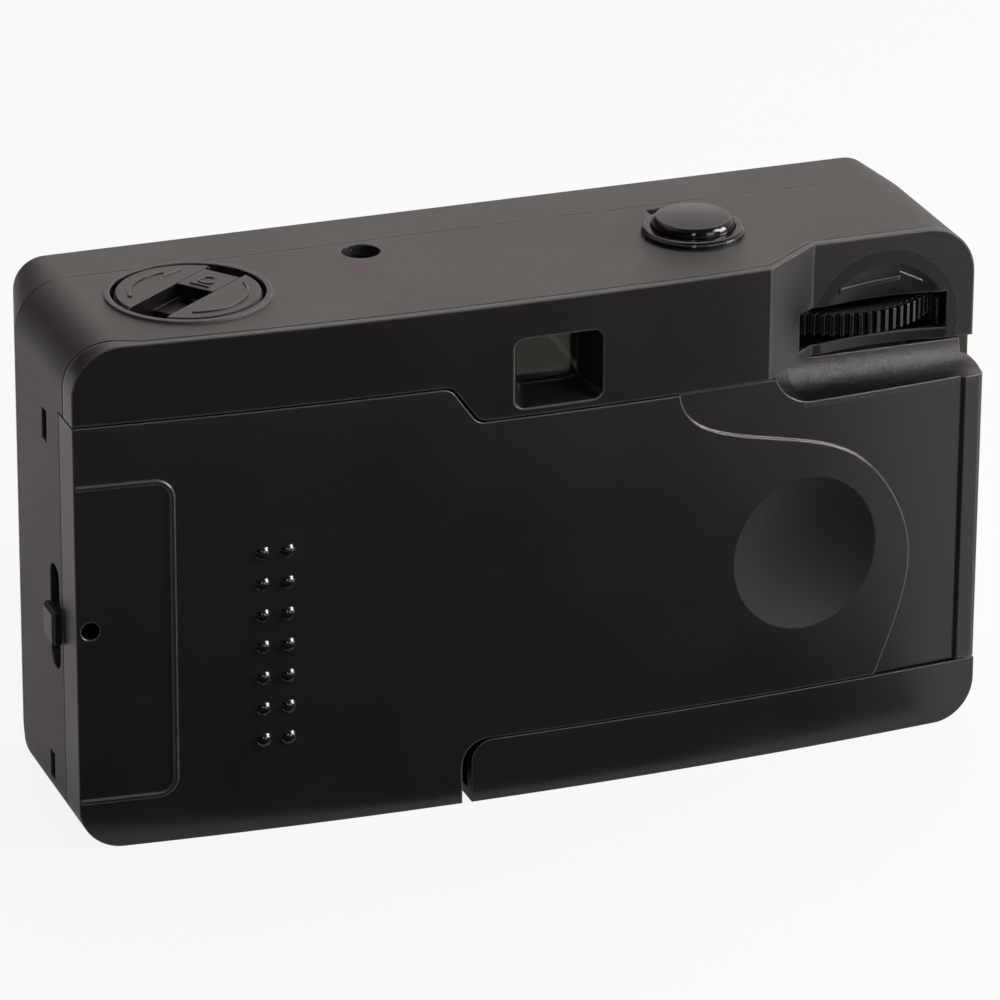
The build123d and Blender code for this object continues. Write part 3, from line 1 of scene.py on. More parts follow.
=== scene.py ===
# %% [markdown]
# This lesson finishes a compact film camera. Its moulded shells, wheels, springs and lenses arrive
# as a fixed frame of solids at their real size, in metres. What is left to make is what the eye
# reads as plastic, steel and glass: grain, gloss, softened edges, signs and light.

# %% Load the frame
import math

import bmesh
import bpy
from mathutils import Matrix, Vector


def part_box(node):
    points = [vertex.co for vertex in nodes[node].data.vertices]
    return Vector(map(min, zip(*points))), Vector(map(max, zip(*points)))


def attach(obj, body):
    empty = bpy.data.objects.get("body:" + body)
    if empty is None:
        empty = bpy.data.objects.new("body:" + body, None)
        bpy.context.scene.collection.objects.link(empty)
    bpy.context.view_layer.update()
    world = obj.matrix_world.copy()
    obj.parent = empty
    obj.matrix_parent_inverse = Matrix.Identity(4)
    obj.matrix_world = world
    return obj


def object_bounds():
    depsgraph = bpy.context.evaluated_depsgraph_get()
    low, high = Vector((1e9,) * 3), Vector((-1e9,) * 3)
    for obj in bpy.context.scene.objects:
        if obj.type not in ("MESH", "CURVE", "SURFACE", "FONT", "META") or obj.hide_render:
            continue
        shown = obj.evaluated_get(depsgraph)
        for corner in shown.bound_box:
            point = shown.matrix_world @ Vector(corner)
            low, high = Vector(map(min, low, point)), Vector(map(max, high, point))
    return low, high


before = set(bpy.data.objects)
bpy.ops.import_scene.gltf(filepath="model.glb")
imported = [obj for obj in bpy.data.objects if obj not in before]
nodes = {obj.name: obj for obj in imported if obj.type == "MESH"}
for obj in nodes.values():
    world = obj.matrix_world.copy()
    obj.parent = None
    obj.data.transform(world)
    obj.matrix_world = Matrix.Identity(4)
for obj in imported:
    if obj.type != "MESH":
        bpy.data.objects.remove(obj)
cad_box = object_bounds()
MM = 0.001

# %% [markdown]
# The camera stands where the photographer's did: behind the object, a little to one side and
# above it. A long lens keeps the edges nearly parallel, as the photograph shows them. The angles
# and the distance were fitted to the outline of the case, so they are written as plain values.

# %% Camera
AZIMUTH = math.radians(159.72)
ELEVATION = math.radians(22.82)
ROLL = math.radians(0.32)
DISTANCE = 817.6*MM
LENS = 245.5
TARGET = Vector((0, 1.05*MM, 31.6*MM))
SHIFT = (0.0017, -0.0028)
SENSOR_WIDTH = 36
CLIP = (0.01, 10)

back = Vector((math.sin(AZIMUTH)*math.cos(ELEVATION), -math.cos(AZIMUTH)*math.cos(ELEVATION),
               math.sin(ELEVATION)))
across = Vector((0, 0, 1)).cross(back).normalized()
upward = back.cross(across)
right = across*math.cos(ROLL) + upward*math.sin(ROLL)
top = upward*math.cos(ROLL) - across*math.sin(ROLL)
camera = bpy.data.objects.new("camera", bpy.data.cameras.new("camera"))
bpy.context.scene.collection.objects.link(camera)
camera.matrix_world = Matrix((
    (right.x, top.x, back.x, 0),
    (right.y, top.y, back.y, 0),
    (right.z, top.z, back.z, 0),
    (0, 0, 0, 1)))
camera.location = TARGET + back*DISTANCE
camera.data.lens = LENS
camera.data.sensor_width = SENSOR_WIDTH
camera.data.shift_x, camera.data.shift_y = SHIFT
camera.data.clip_start, camera.data.clip_end = CLIP
bpy.context.scene.camera = camera
print("camera at", [round(v, 3) for v in camera.location])

# %% [markdown]
# Colours are picked as sRGB hex values, the way a paint chart gives them, while the renderer adds
# light in linear values. One function turns the first into the second. Texture coordinates are in
# metres, so another turns the size of a grain in millimetres into the texture's scale.
#
# Shader trees are written in text here. One small function adds a node, sets what belongs to the
# node and joins or fills its sockets, so that each material reads from top to bottom. A few more
# compare, multiply and split what the sockets carry.

# %% Colour and node helpers
def linear(code):
    """An sRGB hex colour as linear red, green, blue and alpha."""
    values = [int(code[i:i + 2], 16)/255 for i in (1, 3, 5)]
    return [v/12.92 if v <= 0.04045 else ((v + 0.055)/1.055)**2.4 for v in values] + [1.0]


def add(tree, kind, sockets=None, **settings):
    """Adds one node. settings belong to the node, sockets maps its inputs to links or values."""
    node = tree.nodes.new(kind)
    for name, value in settings.items():
        setattr(node, name, value)
    for name, value in (sockets or {}).items():
        if isinstance(value, bpy.types.NodeSocket):
            tree.links.new(value, node.inputs[name])
        else:
            node.inputs[name].default_value = value
    return node


def new_material(name):
    """An empty material and its tree."""
    material = bpy.data.materials.new(name)
    material.use_nodes = True
    material.node_tree.nodes.clear()
    return material, material.node_tree


def per_mm(size):
    """Texture scale that gives features of this size in millimetres."""
    return 1/(size*MM)


def below(tree, value, limit):
    """1 where a value is under a limit."""
    return add(tree, "ShaderNodeMath", {0: value, 1: limit}, operation="LESS_THAN").outputs["Value"]


def above(tree, value, limit):
    """1 where a value is over a limit."""
    return add(tree, "ShaderNodeMath", {0: value, 1: limit}, operation="GREATER_THAN").outputs["Value"]


def product(tree, one, other):
    """The product of two values, which is 1 where both are 1."""
    return add(tree, "ShaderNodeMath", {0: one, 1: other}, operation="MULTIPLY").outputs["Value"]


def split(tree, vector):
    """The X, Y and Z sockets of a vector."""
    return add(tree, "ShaderNodeSeparateXYZ", {"Vector": vector}).outputs


print("mid grey is", round(linear("#808080")[0], 3), "in linear light")

# %% [markdown]
# An outer edge of a moulding takes the small radius that the tool has there. The Bevel node rounds
# the shading of each edge by that radius, without more faces. An edge is also hard to erode, so it
# is glossier and the grain fades there. The rounded normal leaves the face's own normal only near an
# edge, and that difference makes the mask that turns the edge glossier and paints it a little
# paler: a painted highlight line along every edge.

# %% Edges of a moulding
# The paler tone below is a painted highlight, painted along every edge.
EDGE_HIGHLIGHT_TONE = linear("#585756")
EDGE_GLOSS = -0.14
EDGE_STARTS = 0.985
EDGE_FULL = 0.9


def edge_mask(tree, rounded):
    """1 where the rounded normal leaves the face's own normal, which is along an edge."""
    face = add(tree, "ShaderNodeNewGeometry").outputs["Normal"]
    same = add(tree, "ShaderNodeVectorMath", {0: rounded, 1: face}, operation="DOT_PRODUCT")
    mask = add(tree, "ShaderNodeMapRange", {"Value": same.outputs["Value"], "From Min": EDGE_STARTS,
                                            "From Max": EDGE_FULL})
    return mask.outputs["Result"]


print("edges show from", round(math.degrees(math.acos(EDGE_STARTS))), "degrees between the normals")

# %% [markdown]
# The shells are ABS, injection moulded in a steel tool. The tool's face was spark eroded, which
# leaves a fine pebbled grain on the plastic. Black ABS is nearly black in diffuse light, so what
# the eye sees is the sheen: the grain spreads the reflection of the surroundings into an even grey
# that grows towards grazing angles.
#
# The function below is for all moulded plastics of the camera. A fine noise is the grain, and a
# slow noise breaks up the gloss the way handling and the flow of the melt do. The grain is drawn at
# about 0.15 mm, a little coarser than life, or it wouldn't show at this distance. Two options are
# for single pieces: a field with a coarser grain, and polished domes.

# %% Moulded plastic
PLASTIC_IOR = 1.53
GRAIN_TONE = 1.3
FLOW_MM = 14
FLOW_RANGE = (0.3, 0.7)
FLOW_GLOSS = 0.03
COARSE_GRAIN = 0.14
COARSE_DEPTH = 0.06
COARSE_GLOSS = -0.1
DOME_GLOSS = 0.16
COAT_GLOSS = 0.05


def moulded(name, colour, roughness, specular, grain_mm, grain_height, edge_mm=0.25, coat=0.0, field=None,
            domes=None):
    """A moulded plastic: hex colour, gloss, grain size and height in mm, and the edge radius in mm.

    field draws a socket that is 1 where the tool was eroded more coarsely. domes draws two sockets, the
    mask and the normal of small domes that the tool's polished pits leave.
    """
    material, tree = new_material(name)
    place = add(tree, "ShaderNodeTexCoord").outputs["Object"]
    grain = add(tree, "ShaderNodeTexNoise", {"Vector": place, "Scale": per_mm(grain_mm), "Detail": 2.0,
                                             "Roughness": 0.6})
    flow = add(tree, "ShaderNodeTexNoise", {"Vector": place, "Scale": per_mm(FLOW_MM), "Detail": 3.0})
    gloss = add(tree, "ShaderNodeMapRange", {"Value": flow.outputs["Fac"], "From Min": FLOW_RANGE[0],
                                             "From Max": FLOW_RANGE[1],
                                             "To Min": roughness - FLOW_GLOSS,
                                             "To Max": roughness + FLOW_GLOSS})
    shine = gloss.outputs["Result"]
    deep = linear(colour)
    pale = [min(1.0, value*GRAIN_TONE) for value in deep[:3]] + [1.0]
    tone = add(tree, "ShaderNodeMix", {"Factor": grain.outputs["Fac"], "A": deep, "B": pale},
               data_type="RGBA")
    edge = add(tree, "ShaderNodeBevel", {"Radius": edge_mm*MM}, samples=4)
    edge_gloss_and_highlight = edge_mask(tree, edge.outputs["Normal"])
    # Painted highlight: the edge mask paints each edge paler. Below, the same mask also lowers the
    # roughness.
    tone = add(tree, "ShaderNodeMix", {"Factor": edge_gloss_and_highlight, "A": tone.outputs["Result"], "B": EDGE_HIGHLIGHT_TONE},
               data_type="RGBA")
    bump = add(tree, "ShaderNodeBump", {"Height": grain.outputs["Fac"], "Distance": grain_height*MM,
                                        "Strength": 1.0, "Normal": edge.outputs["Normal"]})
    if field:
        where = field(tree, place)
        pits = add(tree, "ShaderNodeTexNoise", {"Vector": place, "Scale": per_mm(COARSE_GRAIN),
                                                "Detail": 1.0})
        depth = product(tree, pits.outputs["Fac"], where)
        bump = add(tree, "ShaderNodeBump", {"Height": depth, "Distance": COARSE_DEPTH*MM, "Strength": 1.0,
                                            "Normal": bump.outputs["Normal"]})
        shine = add(tree, "ShaderNodeMath", {0: where, 1: COARSE_GLOSS, 2: shine},
                    operation="MULTIPLY_ADD").outputs["Value"]
    shine = add(tree, "ShaderNodeMath", {0: edge_gloss_and_highlight, 1: EDGE_GLOSS, 2: shine}, operation="MULTIPLY_ADD",
                use_clamp=True).outputs["Value"]
    facing = bump.outputs["Normal"]
    if domes:
        dome, swell = domes(tree, place)
        facing = add(tree, "ShaderNodeMix", {"Factor": dome, "A": facing, "B": swell},
                     data_type="VECTOR").outputs["Result"]
        shine = add(tree, "ShaderNodeMix", {"Factor": dome, "A": shine, "B": DOME_GLOSS},
                    data_type="FLOAT").outputs["Result"]
        tone = add(tree, "ShaderNodeMix", {"Factor": dome, "A": tone.outputs["Result"], "B": deep},
                   data_type="RGBA")
    surface = add(tree, "ShaderNodeBsdfPrincipled", {
        "Base Color": tone.outputs["Result"], "Roughness": shine, "Specular IOR Level": specular,
        "IOR": PLASTIC_IOR, "Coat Weight": coat, "Coat Roughness": COAT_GLOSS, "Normal": facing})
    add(tree, "ShaderNodeOutputMaterial", {"Surface": surface.outputs["BSDF"]})
    return material


# %% [markdown]
# Two places of the back have a coarser, sparkling grain: the field round the thumb wheel and the
# hollow under it. The scoop in that field is smooth. Each place is found by its own size in the
# camera's frame, so the two grains meet where the tool's inserts meet.

# %% Coarse fields
FIELD_X = -35.9*MM
FIELD_Y = 11.35*MM
SCOOP_X = -45.4*MM
SCOOP_Z = 51.6*MM
SCOOP_RADIUS = 9.4*MM
HOLLOW_Z = 44.3*MM
HOLLOW_X = -33.0*MM


def wheel_field(tree, place):
    """The recessed field of the rear panel without its smooth scoop."""
    axes = split(tree, place)
    flat = product(tree, below(tree, axes["X"], FIELD_X), below(tree, axes["Y"], FIELD_Y))
    plan = add(tree, "ShaderNodeCombineXYZ", {"X": axes["X"], "Z": axes["Z"]})
    away = add(tree, "ShaderNodeVectorMath", {0: plan.outputs["Vector"], 1: (SCOOP_X, 0, SCOOP_Z)},
               operation="DISTANCE")
    return product(tree, flat, above(tree, away.outputs["Value"], SCOOP_RADIUS))


def hollow_field(tree, place):
    """The hollow in the door's upper right corner."""
    axes = split(tree, place)
    return product(tree, below(tree, axes["X"], HOLLOW_X), above(tree, axes["Z"], HOLLOW_Z))


print("coarse grain", COARSE_GRAIN, "mm in two fields")

# %% [markdown]
# The door's grip dots are low round studs in two columns of seven. In the photograph each one is a
# small glossy dome that mirrors a lamp as a spark: a pit for such a dome is drilled in the tool and
# not eroded. A point's offset from the middle of the nearest stud comes from the pitch, by wrapping
# the coordinates, and the dome's normal leans outward by that offset.

# %% Grip dots
DOT_COLUMNS = (31.8*MM, 34.8*MM)
DOT_TOP = 35.5*MM
DOT_ROWS = 7
ROW_PITCH = 3.97*MM
COLUMN_PITCH = DOT_COLUMNS[1] - DOT_COLUMNS[0]
DOT_REACH = 0.9*MM
DOME_SLOPE = 1.1
NO_WRAP = 1.0


def grip_domes(tree, place):
    """The mask and the normal of the grip dots."""
    half = Vector((COLUMN_PITCH/2, 0, ROW_PITCH/2))
    first = Vector((DOT_COLUMNS[1], 0, DOT_TOP)) - half
    pitch = (COLUMN_PITCH, NO_WRAP, ROW_PITCH)
    shifted = add(tree, "ShaderNodeVectorMath", {0: place, 1: first}, operation="SUBTRACT")
    cell = add(tree, "ShaderNodeVectorMath", {0: shifted.outputs["Vector"], 1: pitch, 2: (0, 0, 0)},
               operation="WRAP")
    away = add(tree, "ShaderNodeVectorMath", {0: cell.outputs["Vector"], 1: half}, operation="SUBTRACT")
    offset = split(tree, away.outputs["Vector"])
    out_x = product(tree, offset["X"], DOME_SLOPE/DOT_REACH)
    out_z = product(tree, offset["Z"], DOME_SLOPE/DOT_REACH)
    leaning = add(tree, "ShaderNodeCombineXYZ", {"X": out_x, "Y": 1.0, "Z": out_z})
    turned = add(tree, "ShaderNodeVectorTransform", {"Vector": leaning.outputs["Vector"]},
                 vector_type="NORMAL", convert_from="OBJECT", convert_to="WORLD")
    unit = add(tree, "ShaderNodeVectorMath", {0: turned.outputs["Vector"]}, operation="NORMALIZE")
    flat = add(tree, "ShaderNodeCombineXYZ", {"X": offset["X"], "Z": offset["Z"]})
    radius = add(tree, "ShaderNodeVectorMath", {0: flat.outputs["Vector"]}, operation="LENGTH")
    mask = below(tree, radius.outputs["Value"], DOT_REACH)
    axes = split(tree, place)
    low_side = (DOT_COLUMNS[0] - half.x, DOT_TOP - (DOT_ROWS - 1)*ROW_PITCH - half.z)
    high_side = (DOT_COLUMNS[1] + half.x, DOT_TOP + half.z)
    for axis, low_limit, high_limit in zip("XZ", low_side, high_side):
        inside = product(tree, above(tree, axes[axis], low_limit), below(tree, axes[axis], high_limit))
        mask = product(tree, mask, inside)
    return mask, unit.outputs["Vector"]


print("grip dots", 2*DOT_ROWS)

# %% [markdown]
# The case is a warm black with a visible grain. The rear panel and the door are a cleaner, deeper
# black, and the dial, the wheel and the crank have their own gloss. The release button is
# polished, so it mirrors the lamps.

# %% Plastics of the camera
case_abs = moulded("spark_eroded_abs", "#171412", roughness=0.4, specular=0.41, grain_mm=0.16,
                   grain_height=0.085, edge_mm=0.3)
panel_abs = moulded("rear_panel_abs", "#0d0d0c", roughness=0.32, specular=0.44, grain_mm=0.14,
                    grain_height=0.018, edge_mm=0.4, field=wheel_field)
door_abs = moulded("back_door_abs", "#0f0f0e", roughness=0.33, specular=0.55, grain_mm=0.14,
                   grain_height=0.018, edge_mm=0.28, field=hollow_field, domes=grip_domes)
small_abs = moulded("fine_matte_abs", "#0f0f0e", roughness=0.34, specular=0.54, grain_mm=0.13,
                    grain_height=0.012, edge_mm=0.2)
knob_abs = moulded("knob_abs", "#0e0d0c", roughness=0.29, specular=0.31, grain_mm=0.2, grain_height=0.02,
                   edge_mm=0.22)
# The wheel's black is deeper than that of the other mouldings: painted shade of the slot that it turns in.
wheel_abs = moulded("ribbed_wheel_abs", "#080808", roughness=0.2, specular=0.5, grain_mm=0.2,
                    grain_height=0.006, edge_mm=0.08)
button_abs = moulded("polished_abs", "#050505", roughness=0.1, specular=0.34, grain_mm=3.0,
                     grain_height=0.0, edge_mm=0.3)
inner_styrene = moulded("black_polystyrene", "#101010", roughness=0.5, specular=0.5, grain_mm=0.4,
                        grain_height=0.01, edge_mm=0.15)
print("moulded plastics", len(bpy.data.materials))

# %% [markdown]
# The small metal pieces are nickel-plated steel. A metal's colour is its reflection, so the base
# colour is pale and metallic is 1. Thin lines of drawing and rolling show as a fine stretched
# noise in the roughness.

# %% Metals
DRAWN_LINE_MM = 1.5
DRAWN_STRETCH = 14.0
DRAWN_GLOSS = (-0.06, 0.08)


def metal(name, colour, roughness):
    """A plated or polished metal with fine drawn lines."""
    material, tree = new_material(name)
    place = add(tree, "ShaderNodeTexCoord").outputs["Object"]
    stretch = add(tree, "ShaderNodeMapping", {"Vector": place, "Scale": (1.0, 1.0, DRAWN_STRETCH)})
    lines = add(tree, "ShaderNodeTexNoise", {"Vector": stretch.outputs["Vector"], "Detail": 3.0,
                                             "Scale": per_mm(DRAWN_LINE_MM)})
    gloss = add(tree, "ShaderNodeMapRange", {"Value": lines.outputs["Fac"],
                                             "To Min": roughness + DRAWN_GLOSS[0],
                                             "To Max": roughness + DRAWN_GLOSS[1]})
    surface = add(tree, "ShaderNodeBsdfPrincipled", {
        "Base Color": linear(colour), "Metallic": 1.0, "Roughness": gloss.outputs["Result"]})
    add(tree, "ShaderNodeOutputMaterial", {"Surface": surface.outputs["BSDF"]})
    return material


nickel = metal("nickel_plated_steel", "#c9c7c1", 0.28)
spring_steel = metal("spring_steel", "#b9b6ae", 0.34)
blackened = metal("blackened_steel", "#2a2a2b", 0.5)
mirror_coat = metal("vacuum_metallised_plastic", "#dfe0e2", 0.1)
print("metals", nickel.name, spring_steel.name, blackened.name, mirror_coat.name)

# %% [markdown]
# Lenses and windows are clear acrylic. Light bends in it, so it is a full transmission surface
# with acrylic's index of 1.49. The eyepiece is tinted a warm grey, as it looks in the photograph.
# The flash window is the clear plastic with a slight haze, and the lamp's lens is amber.

# %% Clear plastics
ACRYLIC_IOR = 1.49
RIPPLE_MM = 6
RIPPLE_DEPTH = 0.004*MM


def clear(name, colour, roughness):
    """A clear moulded acrylic."""
    material, tree = new_material(name)
    place = add(tree, "ShaderNodeTexCoord").outputs["Object"]
    ripple = add(tree, "ShaderNodeTexNoise", {"Vector": place, "Scale": per_mm(RIPPLE_MM), "Detail": 1.0})
    bump = add(tree, "ShaderNodeBump", {"Height": ripple.outputs["Fac"], "Distance": RIPPLE_DEPTH})
    surface = add(tree, "ShaderNodeBsdfPrincipled", {
        "Base Color": linear(colour), "Roughness": roughness, "IOR": ACRYLIC_IOR, "Transmission Weight": 1.0,
        "Normal": bump.outputs["Normal"]})
    add(tree, "ShaderNodeOutputMaterial", {"Surface": surface.outputs["BSDF"]})
    return material


lens_acrylic = clear("clear_acrylic", "#f4f7f6", 0.0)
eyepiece_acrylic = clear("tinted_acrylic", "#d6cebf", 0.0)
flash_acrylic = clear("hazy_acrylic", "#f1f2ee", 0.12)
lamp_glass = clear("amber_lamp_glass", "#c8672a", 0.05)
print("clear plastics", lens_acrylic.name, eyepiece_acrylic.name, flash_acrylic.name, lamp_glass.name)

# %% [markdown]
# The rest of the inner pieces: the paper laminate of the circuit board, the sleeves of the
# capacitor and the cell, and the tape round the trigger coil.

# %% Sleeves and laminate
laminate = moulded("paper_laminate", "#6b4a20", roughness=0.4, specular=0.5, grain_mm=0.5,
                   grain_height=0.01, edge_mm=0.1)
sleeve_pvc = moulded("capacitor_sleeve_pvc", "#15181f", roughness=0.25, specular=0.5, grain_mm=1.0,
                     grain_height=0.0, edge_mm=0.1)
coil_tape = moulded("coil_tape_polyester", "#b08a22", roughness=0.3, specular=0.5, grain_mm=1.0,
                    grain_height=0.004, edge_mm=0.1)
cell_sleeve = moulded("cell_sleeve_pvc", "#33363b", roughness=0.22, specular=0.5, grain_mm=2.0,
                      grain_height=0.0, edge_mm=0.1, coat=0.3)
dial_abs = moulded("dial_abs", "#0d0d0d", roughness=0.5, specular=0.4, grain_mm=0.4, grain_height=0.004,
                   edge_mm=0.1)
print("materials so far", len(bpy.data.materials))

# %% [markdown]
# Each node of the frame takes its finish through its own material slot. The list reads like the
# drawing's parts list: a finish, then the pieces made in it.

# %% Finishes of the nodes
finishes = {
    case_abs: ["main_shell", "front_cover"],
    panel_abs: ["rear_panel"],
    door_abs: ["back_door"],
    small_abs: ["battery_door", "latch_slider", "flash_switch"],
    knob_abs: ["rewind_knob", "rewind_crank"],
    wheel_abs: ["thumb_wheel"],
    button_abs: ["shutter_button", "button_collar", "lens_ring"],
    inner_styrene: ["main_frame", "finder_housing", "take_up_spool", "sprocket", "release_lever",
                    "rewind_fork", "rewind_button", "lens_holder"],
    nickel: ["frame_screws", "door_hinge_pin", "battery_door_pin", "crank_pin", "lever_pin",
             "knob_washer", "dial_clip", "striker_lever"],
    spring_steel: ["battery_spring", "battery_contact", "button_spring", "striker_spring", "wheel_pawl"],
    blackened: ["shutter_blade"],
    mirror_coat: ["flash_reflector"],
    lens_acrylic: ["taking_lens", "finder_front_lens", "counter_window"],
    eyepiece_acrylic: ["eyepiece_lens"],
    flash_acrylic: ["flash_window", "flash_tube"],
    lamp_glass: ["ready_lamp"],
    laminate: ["flash_board"],
    sleeve_pvc: ["flash_capacitor"],
    coil_tape: ["trigger_coil"],
    cell_sleeve: ["battery"],
    dial_abs: ["counter_dial"],
}
for finish, names in finishes.items():
    for name in names:
        mesh = nodes[name].data
        mesh.materials.clear()
        mesh.materials.append(finish)
print("finished", sum(len(names) for names in finishes.values()), "of", len(nodes))

# %% [markdown]
# The knob, the crank and the wheel's scoop carry raised signs, engraved in the tool. Each sign is
# a low bar that follows its surface. A bar is built from stations: a left and a right point on
# the surface, lifted a little above it and sunk a little into it, so that no gap shows under it.

# %% Raised bar
LIFT = 0.14*MM
SINK = 0.12*MM


def raised_bars(name, body, bars, normal, finish):
    """Closed low bars, each through stations, which are pairs of points on a surface, in metres."""
    up = Vector(normal)
    form = bmesh.new()
    for stations in bars:
        rings = []
        for left, right in stations:
            corners = (left + up*LIFT, right + up*LIFT, right - up*SINK, left - up*SINK)
            rings.append([form.verts.new(corner) for corner in corners])
        for ring, after in zip(rings, rings[1:]):
            for k in range(4):
                form.faces.new((ring[k], ring[(k + 1) % 4], after[(k + 1) % 4], after[k]))
        form.faces.new(rings[0])
        form.faces.new(rings[-1])
    bmesh.ops.recalc_face_normals(form, faces=form.faces)
    mesh = bpy.data.meshes.new(name)
    form.to_mesh(mesh)
    form.free()
    mesh.materials.append(finish)
    bar = bpy.data.objects.new(name, mesh)
    bpy.context.scene.collection.objects.link(bar)
    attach(bar, body)
    print(name, "has", len(mesh.polygons), "faces")
    return bar


# %% [markdown]
# On the knob, two arcs run round the pads and show which way to wind the film back. One ends in
# half an arrowhead. The radius and the angles are those of the pads, measured about the knob's
# centre, which is the middle of its box.

# %% Arcs on the knob
low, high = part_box("rewind_knob")
knob_centre = (low + high)/2
knob_top = high.z
ARC_RADIUS = 6.9*MM
ARC_WIDTH = 0.5*MM
ARC_TIP = 0.12*MM
ARC_STEPS = 24
LEFT_ARC = (-4, -82)
RIGHT_ARC = (76, 184)
HEAD_ROOT = ((1.3*MM, -5.5*MM), (0.7*MM, -6.95*MM))
HEAD_POINT = ((-1.3*MM, -6.85*MM), (-1.3*MM, -6.95*MM))


def arc_stations(centre, z, radius, start, end, widths):
    """Stations along an arc, in degrees, whose width changes evenly through a list of widths."""
    stations = []
    for k in range(ARC_STEPS + 1):
        share = k/ARC_STEPS*(len(widths) - 1)
        step = min(int(share), len(widths) - 2)
        half = (widths[step] + (widths[step + 1] - widths[step])*(share - step))/2
        angle = math.radians(start + (end - start)*k/ARC_STEPS)
        way = Vector((math.cos(angle), math.sin(angle), 0))
        at = Vector((centre.x, centre.y, z))
        stations.append((at + way*(radius - half), at + way*(radius + half)))
    return stations


left_arc = arc_stations(knob_centre, knob_top, ARC_RADIUS, *LEFT_ARC, [ARC_WIDTH, ARC_WIDTH])
right_arc = arc_stations(knob_centre, knob_top, ARC_RADIUS, *RIGHT_ARC,
                         [ARC_TIP, ARC_WIDTH, ARC_WIDTH, ARC_TIP])
head = [tuple(Vector((knob_centre.x + x, knob_centre.y + y, knob_top)) for x, y in pair)
        for pair in (HEAD_ROOT, HEAD_POINT)]
raised_bars("knob_arrows", "rewind", [left_arc, head, right_arc], (0, 0, 1), knob_abs)

# %% [markdown]
# The crank's sign is a small open loop over a foot line: fold this piece out.

# %% Sign on the crank
low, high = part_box("rewind_crank")
TROUGH = Vector((-0.79, -0.61, 0)).normalized()
SIGN_AT = 4.1*MM
LOOP_RADIUS = 1.05*MM
LOOP_WIDTH = 0.3*MM
LOOP_OPENS = (-150, 105)
FOOT_AWAY = 1.75*MM
FOOT_HALF = 1.3*MM
FOOT_HALF_WIDTH = 0.14*MM
loop_centre = Vector((knob_centre.x, knob_centre.y, 0)) + TROUGH*SIGN_AT
loop = arc_stations(loop_centre, high.z, LOOP_RADIUS, *LOOP_OPENS, [LOOP_WIDTH, LOOP_WIDTH])
foot_mid = loop_centre - TROUGH*FOOT_AWAY
foot_mid.z = high.z
along_foot = Vector((-TROUGH.y, TROUGH.x, 0))*FOOT_HALF
half_line = TROUGH*FOOT_HALF_WIDTH
foot = [(end - half_line, end + half_line) for end in (foot_mid - along_foot, foot_mid + along_foot)]
raised_bars("crank_sign", "crank", [loop, foot], (0, 0, 1), knob_abs)

# %% [markdown]
# In the scoop above the thumb wheel a long half arrow shows which way the wheel turns. The scoop is
# part of a ball, so each point's depth comes from the ball's equation.

# %% Arrow over the wheel
BALL_RADIUS = 34.6*MM
BALL_CENTRE = Vector((SCOOP_X, 44.6*MM, 51.0*MM))
SHAFT_FROM = (-39.5, 56.55)
SHAFT_TO = (-47.4, 57.3)
SHAFT_HALF_WIDTHS = (0.42, 0.3)
BARB_FROM = (-47.2, 58.1)
BARB_TO = (-50.3, 56.55)
BARB_HALF_WIDTHS = (0.16, 0.16)
SCOOP_STEPS = 16


def in_scoop(x, z):
    """A point on the scoop, from its x and z in millimetres."""
    dx = x*MM - BALL_CENTRE.x
    dz = z*MM - BALL_CENTRE.z
    return Vector((x*MM, BALL_CENTRE.y - math.sqrt(BALL_RADIUS**2 - dx*dx - dz*dz), z*MM))


def scoop_stations(start, end, half_start, half_end):
    """Stations in the scoop between two (x, z) places, with the half widths in millimetres."""
    stations = []
    for k in range(SCOOP_STEPS + 1):
        share = k/SCOOP_STEPS
        x = start[0] + (end[0] - start[0])*share
        z = start[1] + (end[1] - start[1])*share
        half = half_start + (half_end - half_start)*share
        stations.append((in_scoop(x, z + half), in_scoop(x, z - half)))
    return stations


shaft = scoop_stations(SHAFT_FROM, SHAFT_TO, *SHAFT_HALF_WIDTHS)
barb = scoop_stations(BARB_FROM, BARB_TO, *BARB_HALF_WIDTHS)
raised_bars("wheel_arrow", "case", [shaft, barb], (0, 1, 0), panel_abs)

# %% [markdown]
# The frame counter is a disc with printed numbers, seen through its window in the top. Every
# fourth frame has a number and each frame has a short mark. They are plain digits, so they are text
# curves with a trace of thickness, as pad-printed ink has. The marks rise a fifth as far as the
# raised signs do.

# %% Numbers on the dial
ink = moulded("white_printing_ink", "#d9d8d2", roughness=0.5, specular=0.4, grain_mm=0.5,
              grain_height=0.002, edge_mm=0.05)
low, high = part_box("counter_dial")
dial_centre = (low + high)/2
FRAMES = 40
NUMBER_RADIUS = 5.1*MM
NUMBER_EVERY = 4
DIGIT_SIZE = 1.9*MM
MARK_RADIUS = 6.55*MM
MARK_HALF_LENGTH = 0.35*MM
MARK_HALF_WIDTH = 0.09*MM
MARK_RISE = (0, 0, 0.2)
INK = 0.02*MM
for frame_number in range(0, FRAMES - NUMBER_EVERY + 1, NUMBER_EVERY):
    turn = 2*math.pi*frame_number/FRAMES
    curve = bpy.data.curves.new(f"dial_number_{frame_number}", "FONT")
    curve.body = str(frame_number)
    curve.size = DIGIT_SIZE
    curve.extrude = INK
    curve.align_x = "CENTER"
    curve.align_y = "CENTER"
    curve.materials.append(ink)
    number = bpy.data.objects.new(f"dial_number_{frame_number}", curve)
    bpy.context.scene.collection.objects.link(number)
    way = Vector((math.sin(turn), math.cos(turn), 0))
    number.location = Vector((dial_centre.x, dial_centre.y, high.z + INK)) + way*NUMBER_RADIUS
    number.rotation_euler = (0, 0, math.pi - turn)
    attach(number, "counter")
marks = []
